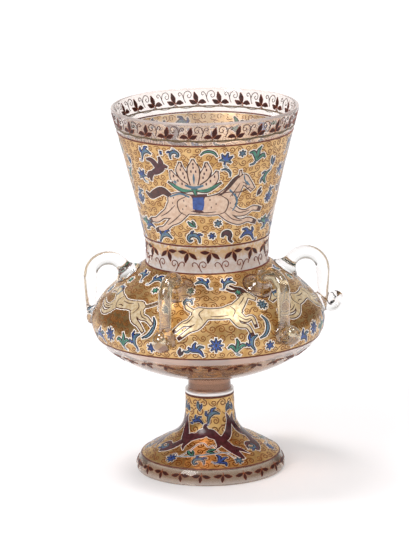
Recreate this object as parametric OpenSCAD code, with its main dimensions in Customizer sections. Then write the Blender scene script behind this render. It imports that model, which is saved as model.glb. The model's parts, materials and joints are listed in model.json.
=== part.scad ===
// Mosque lamp of clear blown glass with gilded and enamelled bands.
// A flared neck and a wide bowl are blown as one vessel. A solid wafer of glass joins the
// vessel to a hollow trumpet foot, and looped handles are trailed on round the shoulder.
// Millimetres, +Z up. The origin is the centre of the ring that the foot stands on.

/* [Foot] */
// Radius of the foot at its widest, near the floor
foot_r = 60.9; // [50:0.1:75]
// Height of the foot, floor to the top of its collar
foot_height = 67; // [60:0.5:90]
// Radius of the collar and stem at the top of the foot
stem_r = 19.6; // [18.5:0.1:26]
// Height of the sloping edge band, floor to the gilded flare
foot_edge_height = 13.3; // [10:0.1:16]
// How far the top of the edge band stands in from the widest radius
foot_edge_inset = 5; // [3:0.1:8]
// Height of the clear collar above the gilding
foot_collar = 5; // [4:0.1:10]
// Wall of the foot
foot_wall = 3.4; // [2:0.1:5]
// Depth of solid glass at the top of the foot
foot_crown = 6; // [5:0.1:12]
// Width of the flat ring that the foot stands on
rest_w = 3; // [2:0.1:4]

/* [Wafer] */
// Radius of the wafer between foot and bowl
wafer_r = 17.8; // [12:0.1:18]
// Height of the wafer
wafer_height = 10.5; // [6:0.1:14]

/* [Bowl] */
// Outer radius of the bowl at its widest
bowl_r = 94; // [85:0.5:105]
// Height from the underside of the bowl to its widest
bowl_depth = 47; // [40:0.5:60]
// Radius of the flat underside that sits on the wafer
bowl_seat_r = 20; // [18.5:0.1:26]
// Height from the widest point up to the base of the neck
shoulder_height = 48.5; // [42:0.5:56]
// Wall of the bowl at its underside
base_wall = 5; // [3.5:0.1:7]

/* [Neck] */
// Outer radius of the upright collar at the base of the neck
neck_r = 49.3; // [44:0.1:54]
// Height of the neck, shoulder to rim
neck_height = 127; // [110:1:150]
// Height of the upright collar before the neck starts to flare
collar_height = 15; // [10:0.5:20]
// Outer radius of the neck at the rim
rim_r = 75.4; // [68:0.1:84]
// Wall of the neck at the rim
rim_wall = 2.8; // [2:0.1:4]

/* [Handles] */
// Radius of the glass rod over the top of a handle
rod_r = 5.6; // [4.8:0.1:6.2]
// Radius of the rod where its tail curls
tail_r = 3.7; // [3:0.1:4.2]
// Radius of the round gob that starts a handle on the shoulder
gob_r = 11.3; // [9:0.1:12.5]
// Height of the gob over the glass
gob_height = 8; // [6.5:0.1:9.5]
// Drop from the base of the neck to the middle of the gob
gob_drop = 10.5; // [9.5:0.1:12.5]
// How far the upright part of a handle stands outside the widest radius
strap_reach = 0.8; // [0.4:0.1:2]
// Radius of the pressed seat at the lower end of a handle
seat_r = 8.5; // [7:0.1:9.5]
// Height of the pressed seat over the glass
seat_height = 4.5; // [3.5:0.1:5.5]
// Height of the lower seat above the widest point
seat_rise = 4.5; // [3:0.1:6]
// Radius of the outer turn of a curled tail
curl_r = 7; // [6.6:0.1:9]
// Radius of the inner turn of a curled tail
curl_eye_r = 4.4; // [4:0.1:5]
// Angle by which the back left handle stands off its even place, less than 0 towards the back right one
back_left_turn = -12; // [-16:1:16]
// Angle by which the left handle stands off its even place, less than 0 towards the back left one
left_turn = -11; // [-16:1:16]
// How much higher than the others the right handle is pressed on the bowl
right_seat_lift = 4; // [0:0.5:6]

/* [Gilding and enamel] */
// Clear band between the rim and the gilded frieze of the neck
rim_band = 20; // [14:0.5:28]
// Height of the gilt line that carries the rim sprigs, over the frieze
sprig_line_rise = 4.4; // [3:0.1:7]
// Clear band between the base of the neck and its gilded frieze
collar_band = 23; // [17:0.5:30]
// Drop from the widest point to the lower edge of the shoulder frieze
belly_band_drop = 10.5; // [6:0.5:14]
// Thickness of the fired gilding
gilding_t = 0.15; // [0.1:0.05:0.4]
// Width of an enamel fillet
fillet_w = 1.2; // [0.8:0.1:2]
// Thickness of an enamel fillet
fillet_t = 0.35; // [0.2:0.05:0.6]
// Gap left round each handle by the gilding
gilding_gap = 0.3; // [0.2:0.1:1]

/* [Hidden] */
handle_names = ["handle_right", "handle_back_right", "handle_back_left",
                "handle_left", "handle_front_left", "handle_front_right"];
// The tail of this handle is pressed flat, and the others are curled.
pressed_tail = "handle_left";
handle_count = len(handle_names);
handle_turns = [0, 0, back_left_turn, left_turn, 0, 0];
seat_lifts = [right_seat_lift, 0, 0, 0, 0, 0];
function handle_angle(i) = 360 * i / handle_count + handle_turns[i];
$fn = 96;

glass = [0.93, 0.90, 0.87, 0.45];
gold = [0.84, 0.66, 0.33];
gilt_line = [0.62, 0.50, 0.25];
brown_enamel = [0.38, 0.14, 0.10];

// Heights of the stacked pieces above the floor
bowl_z = foot_height + wafer_height;
widest_z = bowl_z + bowl_depth;
neck_z = widest_z + shoulder_height;
rim_z = neck_z + neck_height;
lip_r = rim_wall / 2;
curve_steps = 16;
lip_steps = 8;
// How far a seat's plug reaches into the bowl before the bowl trims it
plug_depth = 5;

// Points of a cubic curve through four control points
function cubic(p, n) = [for (i = [0:n]) let (t = i / n)
    pow(1 - t, 3) * p[0] + 3 * t * pow(1 - t, 2) * p[1] + 3 * t * t * (1 - t) * p[2] + pow(t, 3) * p[3]];
function tail(list) = [for (i = [1:len(list) - 1]) list[i]];
function reversed(list) = [for (i = [len(list) - 1:-1:0]) list[i]];

// Unit direction along a path at point i, and the path moved to its left by a list of distances
function heading(path, i) = let (d = path[min(i + 1, len(path) - 1)] - path[max(i - 1, 0)]) d / norm(d);
function moved_left(path, by) = [for (i = [0:len(path) - 1]) let (h = heading(path, i))
    path[i] + by[i] * [-h[1], h[0]]];
function even(path, d) = [for (p = path) d];

// Radius, outward direction and a stretch of an outline whose heights only rise
function radius_at(path, z) = lookup(z, [for (p = path) [p[1], p[0]]]);
function outward_at(path, z) = let (dz = 0.5, dr = radius_at(path, z + dz) - radius_at(path, z - dz))
    [2 * dz, -dr] / norm([2 * dz, dr]);
function stretch(path, z0, z1) = concat([[radius_at(path, z0), z0]],
    [for (p = path) if (p[1] > z0 + 0.05 && p[1] < z1 - 0.05) p], [[radius_at(path, z1), z1]]);
// Rise in height that a line of width w takes up on the slope at z
function rise(path, z, w) = w * outward_at(path, z)[0];

// Outer outline of the vessel, underside to rim: belly, shoulder, upright collar and flare
belly = cubic([[bowl_seat_r, bowl_z], [bowl_seat_r + 0.54 * (bowl_r - bowl_seat_r), bowl_z + 0.17 * bowl_depth],
               [bowl_r, bowl_z + 0.57 * bowl_depth], [bowl_r, widest_z]], curve_steps);
shoulder = cubic([[bowl_r, widest_z], [bowl_r, widest_z + 0.42 * shoulder_height],
                  [neck_r + 0.33 * (bowl_r - neck_r), neck_z - 0.24 * shoulder_height],
                  [neck_r, neck_z]], curve_steps);
flare_z = neck_z + collar_height;
flare_height = rim_z - 1.25 * lip_r - flare_z;
flare = cubic([[neck_r, flare_z], [neck_r + 0.16 * (rim_r - neck_r), flare_z + 0.24 * flare_height],
               [neck_r + 0.545 * (rim_r - neck_r), flare_z + 0.6 * flare_height],
               [rim_r, flare_z + flare_height]], curve_steps);
vessel_path = concat(belly, tail(shoulder), flare);

// The wall thins evenly from the underside to the rim.
last_step = len(vessel_path) - 1;
vessel_walls = [for (i = [0:last_step]) base_wall + (rim_wall - base_wall) * i / last_step];
vessel_inside = moved_left(vessel_path, vessel_walls);
lip_centre = (vessel_path[last_step] + vessel_inside[last_step]) / 2;
lip_start = vessel_path[last_step] - lip_centre;
lip = [for (i = [1:lip_steps - 1]) let (a = 180 * i / lip_steps)
    lip_centre + [lip_start[0] * cos(a) - lip_start[1] * sin(a), lip_start[0] * sin(a) + lip_start[1] * cos(a)]];

// Outer outline of the foot, floor to collar: rounded edge, sloping band, flare and stem
foot_edge_r = foot_r - foot_edge_inset;
foot_gild_z = foot_height - foot_collar;
foot_edge = cubic([[foot_r - 1.5, 0], [foot_r + 0.5, 1.5], [foot_r, 0.55 * foot_edge_height],
                   [foot_edge_r, foot_edge_height]], curve_steps / 2);
foot_flare = cubic([[foot_edge_r, foot_edge_height],
                    [stem_r + 0.26 * (foot_edge_r - stem_r), foot_edge_height + 0.38 * (foot_gild_z - foot_edge_height)],
                    [stem_r, foot_edge_height + 0.22 * (foot_gild_z - foot_edge_height)],
                    [stem_r, foot_gild_z - 4]], curve_steps);
collar_round = 1.6;
foot_collar_top = cubic([[stem_r, foot_height - collar_round], [stem_r, foot_height - collar_round / 2],
                         [stem_r - collar_round / 2, foot_height], [stem_r - collar_round, foot_height]], 4);
foot_path = concat(foot_edge, tail(foot_flare), foot_collar_top);

// Inside of the foot: up from the standing ring, parallel to the flare, to a domed crown
hollow_r = stem_r - foot_wall;
hollow_z = foot_height - foot_crown;
foot_under = moved_left(foot_flare, even(foot_flare, foot_wall));
foot_inside = concat([for (p = foot_under) if (p[1] < hollow_z - hollow_r) p],
    [for (a = [0:15:90]) [hollow_r * cos(a), hollow_z - hollow_r + hollow_r * sin(a)]]);

// A handle is drawn in its own upright plane, with x the distance from the lamp's axis.
gob_z = neck_z - gob_drop;
gob_seat = [radius_at(vessel_path, gob_z), gob_z];
gob_out = outward_at(vessel_path, gob_z);
gob_angle = atan2(gob_out[1], gob_out[0]);
seat_z = widest_z + seat_rise;
function seat_at(lift) = [radius_at(vessel_path, seat_z + lift), seat_z + lift];
strap_r = bowl_r + strap_reach;
arch_start = gob_seat + gob_height * gob_out;
// The arch turns from square to the shoulder to straight down, and ends over the strap.
arch_r = (strap_r - arch_start[0]) / (1 + gob_out[1]);
arch_centre = arch_start + arch_r * [gob_out[1], -gob_out[0]];
// How far the arch carries on into the gob, in degrees
arch_root = 12;
function tail_start(lift) = [strap_r, seat_z + lift + 2];

// A solid ring round the lamp's axis, from points given as radius and height
module turned(points) {
    rotate_extrude() polygon(points);
}

// A fired layer that covers the outline from z0 to z1
module layer(path, z0, z1, t) {
    under = stretch(path, z0, z1);
    turned(concat(moved_left(under, even(under, -t)), reversed(under)));
}

// An enamel line of one fillet's width, above or below height z
module fillet_above(path, z) {
    layer(path, z, z + rise(path, z, fillet_w), fillet_t);
}

module fillet_below(path, z) {
    layer(path, z - rise(path, z, fillet_w), z, fillet_t);
}

// A rod of glass bent about a centre in the handle's plane
module bent_rod(centre, bend_r, r, from, turn) {
    translate([centre[0], 0, centre[1]]) rotate([90, 0, 0]) rotate([0, 0, from])
        rotate_extrude(angle = turn) translate([bend_r, 0]) circle(r);
}

// A gob of glass with a rounded shoulder, that stands on its seat along +Z
module gob(r, height, top_r) {
    side = 0.12 * height;
    dome = cubic([[r, side], [r, 0.6 * height], [top_r + 0.25 * (r - top_r), 0.7 * height], [top_r, height]], 8);
    turned(concat([[0, -plug_depth], [r, -plug_depth]], dome, [[0, height]]));
}

// The round end of a rod, along +Z
module rod_end(r) {
    turned(concat([[0, 0]], [for (a = [0:15:90]) [r * cos(a), r * sin(a)]]));
}

// Places its children in the handle's plane, with +Z turned to an angle above the level
module seated(at, angle) {
    translate([at[0], 0, at[1]]) rotate([0, 90 - angle, 0]) children();
}

module bowl_solid() {
    turned(concat([[0, bowl_z]], belly, tail(shoulder), [[0, neck_z]]));
}

module vessel() {
    color(glass) turned(concat([[0, bowl_z]], vessel_path, lip, reversed(vessel_inside),
                               [[0, vessel_inside[0][1]]]));
}

module stem_wafer() {
    color(glass) translate([0, 0, foot_height]) cylinder(h = wafer_height, r = wafer_r);
}

module foot() {
    color(glass) turned(concat([[foot_r - 1.5 - rest_w, 0]], foot_path, [[0, foot_height]], reversed(foot_inside)));
}

module handle_rod(curled, lift) {
    tail_top = tail_start(lift);
    curl_centre = tail_top + [curl_r, 0];
    eye_centre = curl_centre + [curl_r - curl_eye_r, 0];
    seated(gob_seat, gob_angle) gob(gob_r, gob_height, rod_r - 0.8);
    bent_rod(arch_centre, arch_r, rod_r, 0, 90 + gob_angle + arch_root);
    translate([tail_top[0], 0, tail_top[1]])
        cylinder(h = arch_centre[1] - tail_top[1], r1 = tail_r, r2 = rod_r);
    seated(seat_at(lift), 0) gob(seat_r, seat_height, 0.55 * seat_r);
    if (curled) {
        bent_rod(curl_centre, curl_r, tail_r, 180, 180);
        bent_rod(eye_centre, curl_eye_r, tail_r, 0, 90);
        seated(eye_centre + [0, curl_eye_r], 180) rod_end(tail_r);
    } else {
        seated(tail_top, -90) rod_end(tail_r);
    }
}

module handle(i) {
    curled = handle_names[i] != pressed_tail;
    color(glass) rotate([0, 0, handle_angle(i)]) difference() {
        handle_rod(curled, seat_lifts[i]);
        bowl_solid();
    }
}

// What the gilding leaves bare round the two seats of every handle
module handle_clearance() {
    for (i = [0:handle_count - 1]) rotate([0, 0, handle_angle(i)]) {
        seated(gob_seat, gob_angle) cylinder(h = 2 * plug_depth, r = gob_r + gilding_gap, center = true);
        seated(seat_at(seat_lifts[i]), 0) cylinder(h = 2 * plug_depth, r = seat_r + gilding_gap, center = true);
    }
}

module neck_gilding() {
    color(gold) layer(vessel_path, neck_z + collar_band, rim_z - rim_band, gilding_t);
}

module shoulder_gilding() {
    top_z = neck_z - rise(vessel_path, neck_z - fillet_w, fillet_w);
    color(gold) difference() {
        layer(vessel_path, widest_z - belly_band_drop, top_z, gilding_t);
        handle_clearance();
    }
}

module foot_gilding() {
    color(gold) layer(foot_path, foot_edge_height, foot_gild_z, gilding_t);
}

module rim_fillet() {
    color(gilt_line) fillet_above(vessel_path, rim_z - rim_band + sprig_line_rise);
}

module neck_upper_fillet() {
    color(brown_enamel) fillet_above(vessel_path, rim_z - rim_band);
}

module neck_lower_fillet() {
    color(brown_enamel) fillet_below(vessel_path, neck_z + collar_band);
}

module collar_fillet() {
    color(brown_enamel)
        layer(vessel_path, neck_z - rise(vessel_path, neck_z - fillet_w, fillet_w), neck_z, fillet_t);
}

module belly_fillet() {
    color(brown_enamel) fillet_below(vessel_path, widest_z - belly_band_drop);
}

module foot_upper_fillet() {
    color(brown_enamel) fillet_above(foot_path, foot_gild_z);
}

module foot_lower_fillet() {
    color(brown_enamel) fillet_below(foot_path, foot_edge_height);
}

vessel();
stem_wafer();
foot();
neck_gilding();
shoulder_gilding();
foot_gilding();
rim_fillet();
neck_upper_fillet();
neck_lower_fillet();
collar_fillet();
belly_fillet();
foot_upper_fillet();
foot_lower_fillet();
for (i = [0:handle_count - 1]) handle(i);
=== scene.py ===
# %% [markdown]
# # A mosque lamp in gilded and enamelled glass
# The lamp is made hot and finished cold. A glassblower shapes the vessel, sticks it to its foot with a
# wafer of glass and trails six handles on. A painter then lays gold on the outside, draws on it with
# enamel, and the kiln fires both on. The scene follows that order: glass first, gold next, enamel last.

# %% Load the frame
import json
import math
import random

import bpy
import numpy as np
from mathutils import Matrix, Vector


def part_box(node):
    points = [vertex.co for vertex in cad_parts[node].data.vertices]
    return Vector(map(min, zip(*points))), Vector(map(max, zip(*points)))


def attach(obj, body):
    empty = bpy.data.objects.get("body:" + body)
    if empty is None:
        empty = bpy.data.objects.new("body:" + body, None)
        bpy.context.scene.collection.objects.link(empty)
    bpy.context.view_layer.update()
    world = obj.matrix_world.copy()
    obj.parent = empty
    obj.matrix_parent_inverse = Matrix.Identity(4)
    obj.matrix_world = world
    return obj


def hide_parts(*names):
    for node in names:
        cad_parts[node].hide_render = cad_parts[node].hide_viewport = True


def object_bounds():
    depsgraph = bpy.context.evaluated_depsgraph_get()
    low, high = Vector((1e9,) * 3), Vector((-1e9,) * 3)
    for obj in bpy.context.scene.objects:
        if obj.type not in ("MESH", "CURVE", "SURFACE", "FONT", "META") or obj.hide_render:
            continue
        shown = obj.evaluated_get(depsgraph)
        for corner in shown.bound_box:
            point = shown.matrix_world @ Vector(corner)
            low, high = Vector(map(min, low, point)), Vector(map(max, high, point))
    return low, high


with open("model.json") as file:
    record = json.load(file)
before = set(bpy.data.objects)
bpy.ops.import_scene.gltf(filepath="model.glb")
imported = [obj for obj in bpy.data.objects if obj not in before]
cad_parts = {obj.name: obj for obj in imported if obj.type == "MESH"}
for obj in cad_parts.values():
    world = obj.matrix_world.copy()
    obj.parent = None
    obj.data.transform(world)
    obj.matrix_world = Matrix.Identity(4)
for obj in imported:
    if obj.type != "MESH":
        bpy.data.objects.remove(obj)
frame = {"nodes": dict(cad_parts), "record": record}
cad_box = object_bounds()
MM = 0.001
low, high = cad_box
print("lamp, mm:", [round((b - a) / MM, 1) for a, b in zip(low, high)])

# %% [markdown]
# ## Camera
# A long lens from three metres away gives the flat view of a catalogue picture. The camera looks down a
# little, so that the mouth shows as a thin oval, and it leans by a degree, as a hand-set tripod does.

# %% Camera
PHOTO_HEIGHT_PX = 536
VIEW_AZIMUTH = math.radians(-9.0)
VIEW_ELEVATION = math.radians(13.485)
VIEW_ROLL = math.radians(0.978)
VIEW_DISTANCE = 3.139
PX_PER_METRE = 1237.0
# How far the middle of the lamp stands right of and below the middle of the picture
LAMP_RIGHT_PX = 2.79
LAMP_BELOW_PX = 19.13
lamp_middle = Vector((0, 0, high[2] / 2))

back = Vector((math.sin(VIEW_AZIMUTH) * math.cos(VIEW_ELEVATION),
               -math.cos(VIEW_AZIMUTH) * math.cos(VIEW_ELEVATION), math.sin(VIEW_ELEVATION)))
level_right = Vector((math.cos(VIEW_AZIMUTH), math.sin(VIEW_AZIMUTH), 0))
level_up = back.cross(level_right)
right = level_right * math.cos(VIEW_ROLL) - level_up * math.sin(VIEW_ROLL)
up = level_up * math.cos(VIEW_ROLL) + level_right * math.sin(VIEW_ROLL)
aim = lamp_middle - right * (LAMP_RIGHT_PX / PX_PER_METRE) + up * (LAMP_BELOW_PX / PX_PER_METRE)

bpy.ops.object.select_all(action="DESELECT")
bpy.ops.object.camera_add(location=aim + back * VIEW_DISTANCE)
camera = bpy.context.object
camera.name = "catalogue_camera"
camera.rotation_mode = "QUATERNION"
camera.rotation_quaternion = Matrix((right, up, back)).transposed().to_quaternion()
camera.data.sensor_width = 36.0
camera.data.lens = VIEW_DISTANCE * PX_PER_METRE / PHOTO_HEIGHT_PX * camera.data.sensor_width
camera.data.clip_end = 50.0
bpy.context.scene.camera = camera
print("lens, mm:", round(camera.data.lens, 1))

# %% [markdown]
# ## One way to write colours and nodes
# Colours are written as sRGB hex, as a picture shows them, and one function turns them to the linear values
# that a shader needs. One small function adds a node, sets it and links it.

# %% Colours and nodes
def linear(code):
    values = [int(code[i:i + 2], 16) / 255 for i in (1, 3, 5)]
    return [v / 12.92 if v <= 0.04045 else ((v + 0.055) / 1.055) ** 2.4 for v in values] + [1.0]


def add_node(tree, kind, inputs=None, **settings):
    made = tree.nodes.new(kind)
    for key, value in settings.items():
        setattr(made, key, value)
    for key, value in (inputs or {}).items():
        if isinstance(value, bpy.types.NodeSocket):
            tree.links.new(value, made.inputs[key])
        else:
            made.inputs[key].default_value = value
    return made


def new_material(name):
    material = bpy.data.materials.new(name)
    material.use_nodes = True
    tree = material.node_tree
    return material, tree, tree.nodes["Principled BSDF"]


def set_ramp(ramp, stops):
    elements = ramp.color_ramp.elements
    while len(elements) < len(stops):
        elements.new(0.5)
    for element, (place, code) in zip(elements, stops):
        element.position = place
        element.color = linear(code)


# %% [markdown]
# ## Floor
# A catalogue picture is taken on a roll of white paper. It is a plain matt sheet here. Where a ray sees it
# straight, mirrored or through glass it also glows a little, more so far away, so that it reads as white
# while the lights stay at a plain level and the shadow stays on it.

# %% Floor
FLOOR_SIZE = 12.0
FLOOR_GAP = 0.0002
# Glow of the paper near the lamp and far from it, and the distances in metres between which it changes
FLOOR_GLOW = (0.235, 0.64)
GLOW_REACH = (0.3, 3.0)

bpy.ops.object.select_all(action="DESELECT")
bpy.ops.mesh.primitive_grid_add(x_subdivisions=4, y_subdivisions=4, size=FLOOR_SIZE,
                                location=(0, 0, -FLOOR_GAP))
floor = bpy.context.object
floor.name = "white_sweep"
bpy.ops.object.transform_apply(location=True, rotation=True, scale=True)

floor_material, tree, paper = new_material("matt_white_paper")
paper.inputs["Base Color"].default_value = linear("#DDDADB")
paper.inputs["Roughness"].default_value = 0.9
paper.inputs["Specular IOR Level"].default_value = 0.1
path = add_node(tree, "ShaderNodeLightPath")
seen = add_node(tree, "ShaderNodeMath",
                {0: path.outputs["Is Camera Ray"], 1: path.outputs["Is Glossy Ray"]}, operation="MAXIMUM")
seen = add_node(tree, "ShaderNodeMath",
                {0: seen.outputs[0], 1: path.outputs["Is Transmission Ray"]}, operation="MAXIMUM")
where = add_node(tree, "ShaderNodeTexCoord")
away = add_node(tree, "ShaderNodeVectorMath", {0: where.outputs["Object"]}, operation="LENGTH")
level = add_node(tree, "ShaderNodeMapRange",
                 {"Value": away.outputs["Value"], "From Min": GLOW_REACH[0], "From Max": GLOW_REACH[1],
                  "To Min": FLOOR_GLOW[0], "To Max": FLOOR_GLOW[1]}, interpolation_type="SMOOTHSTEP")
glow = add_node(tree, "ShaderNodeMath", {0: seen.outputs[0], 1: level.outputs[0]}, operation="MULTIPLY")
glow_shader = add_node(tree, "ShaderNodeEmission", {"Strength": glow.outputs[0]})
both = add_node(tree, "ShaderNodeAddShader", {0: paper.outputs[0], 1: glow_shader.outputs[0]})
tree.links.new(both.outputs[0], tree.nodes["Material Output"].inputs["Surface"])
floor.data.materials.append(floor_material)
print("floor, m:", FLOOR_SIZE)

# %% [markdown]
# ## Lights
# A large soft box on the left lights the lamp, and a weak one on the right fills its dark side. A third
# hangs overhead, a little behind the lamp, and throws the short shadow that lies in front of the foot. A
# small one over the right front puts the sheen on the shoulder.

# %% Lights
def add_soft_light(name, place, size, power, colour):
    bpy.ops.object.select_all(action="DESELECT")
    bpy.ops.object.light_add(type="AREA", location=place)
    light = bpy.context.object
    light.name = name
    light.rotation_mode = "QUATERNION"
    light.rotation_quaternion = (Vector(place) - lamp_middle).to_track_quat("Z", "Y")
    light.data.shape = "RECTANGLE"
    light.data.size, light.data.size_y = size
    light.data.energy = power
    light.data.color = linear(colour)[:3]
    print(name, power, "W")


add_soft_light("key_softbox", (-1.5, -1.3, 1.7), (1.0, 1.0), 24, "#FFFDFD")
add_soft_light("fill_softbox", (1.6, -1.2, 1.1), (0.8, 1.2), 2, "#FFFFFF")
add_soft_light("top_softbox", (-0.46, 0.34, 2.30), (0.5, 0.5), 22, "#FFFDFD")
add_soft_light("shoulder_softbox", (0.56, -0.60, 2.00), (0.6, 0.6), 6.5, "#FFFDF8")

# %% [markdown]
# ## Room
# Clear glass has no colour of its own: it is drawn by what it mirrors and bends. So the room that the glass
# sees is white with a grey card on each side, and the cards give the handles and the rim their grey edges.
# Gold needs something dark to mirror too, or it looks like paint: for mirrors the ceiling is grey, and a
# darker flag stands on the left.

# %% Room
ROOM_LEVEL = 0.62
WHITE, CARD_GREY = linear("#FFFFFF"), linear("#474341")
CEILING_GREY, FLAG_GREY = linear("#B4AFA9"), linear("#69635F")
# Where each soft edge begins and ends, as parts of a direction's length
SOFT_EDGES = {"card_side": (0.56, 0.80), "card_top": (0.55, 0.25),
              "ceiling": (0.1, 0.55), "flag": (-0.25, -0.65)}

world = bpy.data.worlds.new("white_studio")
bpy.context.scene.world = world
world.use_nodes = True
tree = world.node_tree
tree.nodes.clear()
path = add_node(tree, "ShaderNodeLightPath")
glossy = path.outputs["Is Glossy Ray"]
where = add_node(tree, "ShaderNodeTexCoord")
axes = add_node(tree, "ShaderNodeSeparateXYZ", {0: where.outputs["Generated"]})
sideways = add_node(tree, "ShaderNodeMath", {0: axes.outputs["X"]}, operation="ABSOLUTE")
height = add_node(tree, "ShaderNodeMath", {0: axes.outputs["Z"]}, operation="ABSOLUTE")
measured = {"card_side": sideways.outputs[0], "card_top": height.outputs[0],
            "ceiling": axes.outputs["Z"], "flag": axes.outputs["X"]}
edges = {}
for name, (start, end) in SOFT_EDGES.items():
    eased = add_node(tree, "ShaderNodeMapRange",
                     {"Value": measured[name], "From Min": start, "From Max": end},
                     interpolation_type="SMOOTHSTEP")
    edges[name] = eased.outputs[0]
card = add_node(tree, "ShaderNodeMath", {0: edges["card_side"], 1: edges["card_top"]}, operation="MULTIPLY")
room = add_node(tree, "ShaderNodeMix", {"Factor": card.outputs[0], "A": WHITE, "B": CARD_GREY},
                data_type="RGBA")
mirrored = room
for edge, grey in ((edges["ceiling"], CEILING_GREY), (edges["flag"], FLAG_GREY)):
    mirrored = add_node(tree, "ShaderNodeMix", {"Factor": edge, "A": mirrored.outputs["Result"], "B": grey},
                        data_type="RGBA")
bent = add_node(tree, "ShaderNodeMath", {0: glossy, 1: path.outputs["Is Transmission Ray"]},
                operation="MAXIMUM")
bent_room = add_node(tree, "ShaderNodeMix",
                     {"Factor": glossy, "A": room.outputs["Result"], "B": mirrored.outputs["Result"]},
                     data_type="RGBA")
bent_room = add_node(tree, "ShaderNodeBackground", {"Color": bent_room.outputs["Result"], "Strength": 1.0})
lit_room = add_node(tree, "ShaderNodeBackground", {"Color": WHITE, "Strength": ROOM_LEVEL})
seen_room = add_node(tree, "ShaderNodeBackground", {"Color": WHITE, "Strength": 1.0})
mixed = add_node(tree, "ShaderNodeMixShader",
                 {0: bent.outputs[0], 1: lit_room.outputs[0], 2: bent_room.outputs[0]})
mixed = add_node(tree, "ShaderNodeMixShader",
                 {0: path.outputs["Is Camera Ray"], 1: mixed.outputs[0], 2: seen_room.outputs[0]})
add_node(tree, "ShaderNodeOutputWorld", {"Surface": mixed.outputs[0]})
bpy.context.scene.view_settings.view_transform = "Standard"
print("room level:", ROOM_LEVEL)

# %% [markdown]
# ## Outlines
# All of this lamp but its handles is turned: a bubble is spun on a pipe while it is soft. So a turned piece
# needs only its outline, as distance from the axis and height in millimetres. The outlines repeat the
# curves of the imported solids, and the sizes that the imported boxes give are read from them.

# %% Outlines
def cubic(control, steps):
    p = np.array(control, float)
    t = np.linspace(0, 1, steps + 1)[:, None]
    return (1 - t) ** 3 * p[0] + 3 * t * (1 - t) ** 2 * p[1] + 3 * t * t * (1 - t) * p[2] + t ** 3 * p[3]


def box_mm(node):
    lowest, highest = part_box(node)
    return [v / MM for v in lowest], [v / MM for v in highest]


class Skin:
    """The outer skin of a turned piece, looked up by the distance s along its outline."""

    def __init__(self, points):
        self.points = np.array(points, float)
        steps = np.linalg.norm(np.diff(self.points, axis=0), axis=1)
        self.s = np.concatenate([[0], np.cumsum(steps)])
        heading = np.gradient(self.points, self.s, axis=0)
        heading /= np.linalg.norm(heading, axis=1)[:, None]
        self.out = np.stack([heading[:, 1], -heading[:, 0]], axis=1)

    def along(self, z):
        return np.interp(z, self.points[:, 1], self.s)

    def radius(self, s):
        return np.interp(s, self.s, self.points[:, 0])

    def height(self, s):
        return np.interp(s, self.s, self.points[:, 1])

    def lifted(self, by):
        return self.points + self.out * np.reshape(by, (-1, 1))

    def look_up(self, s):
        """The points of the outline at s, and the directions that lead away from the glass there."""
        out = np.stack([np.interp(s, self.s, self.out[:, i]) for i in (0, 1)], axis=-1)
        return np.stack([self.radius(s), self.height(s)], axis=-1), out

    def place(self, phi, s, lift):
        at, out = self.look_up(s)
        r = at[..., 0] + lift * out[..., 0]
        z = at[..., 1] + lift * out[..., 1]
        return np.stack([r * np.cos(phi), r * np.sin(phi), z], axis=-1) * MM


# %% Outline of the vessel
# Each stretch is one curve, and the shares in it say where its two inner control points lie.
OUTLINE_STEPS = 40
bowl_z = box_mm("vessel")[0][2]
rim_z = box_mm("vessel")[1][2]
bowl_r = 94.0
bowl_depth, bowl_seat_r = 47.0, 20.0
shoulder_height = 48.5
neck_r, rim_r = 49.3, 75.4
collar_height = 15.0
base_wall, rim_wall = 5.0, 2.8
lip_r, lip_share = rim_wall / 2, 1.25
collar_steps = 6
widest_z = bowl_z + bowl_depth
neck_z = widest_z + shoulder_height
flare_z = neck_z + collar_height
flare_height = rim_z - lip_share * lip_r - flare_z

belly = cubic([(bowl_seat_r, bowl_z),
               (bowl_seat_r + 0.54 * (bowl_r - bowl_seat_r), bowl_z + 0.17 * bowl_depth),
               (bowl_r, bowl_z + 0.57 * bowl_depth), (bowl_r, widest_z)], OUTLINE_STEPS)
shoulder = cubic([(bowl_r, widest_z), (bowl_r, widest_z + 0.42 * shoulder_height),
                  (neck_r + 0.33 * (bowl_r - neck_r), neck_z - 0.24 * shoulder_height),
                  (neck_r, neck_z)], OUTLINE_STEPS)
collar = np.array([(neck_r, neck_z + collar_height * i / collar_steps) for i in range(collar_steps)])
flare = cubic([(neck_r, flare_z), (neck_r + 0.16 * (rim_r - neck_r), flare_z + 0.24 * flare_height),
               (neck_r + 0.545 * (rim_r - neck_r), flare_z + 0.6 * flare_height),
               (rim_r, flare_z + flare_height)], OUTLINE_STEPS)
bowl_skin = Skin(np.vstack([belly, shoulder[1:]]))
neck_skin = Skin(np.vstack([collar, flare]))
print("outline lengths, mm:", [round(k.s[-1], 1) for k in (bowl_skin, neck_skin)])

# %% Outline of the foot
foot_r, stem_r = 60.9, 19.6
foot_z = box_mm("foot")[1][2]
foot_edge_height, foot_edge_inset = 13.3, 5.0
foot_wall, foot_crown = 3.4, 6.0
rest_w, rest_round, edge_bulge = 3.0, 1.5, 0.5
stem_straight = 4.0
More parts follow.
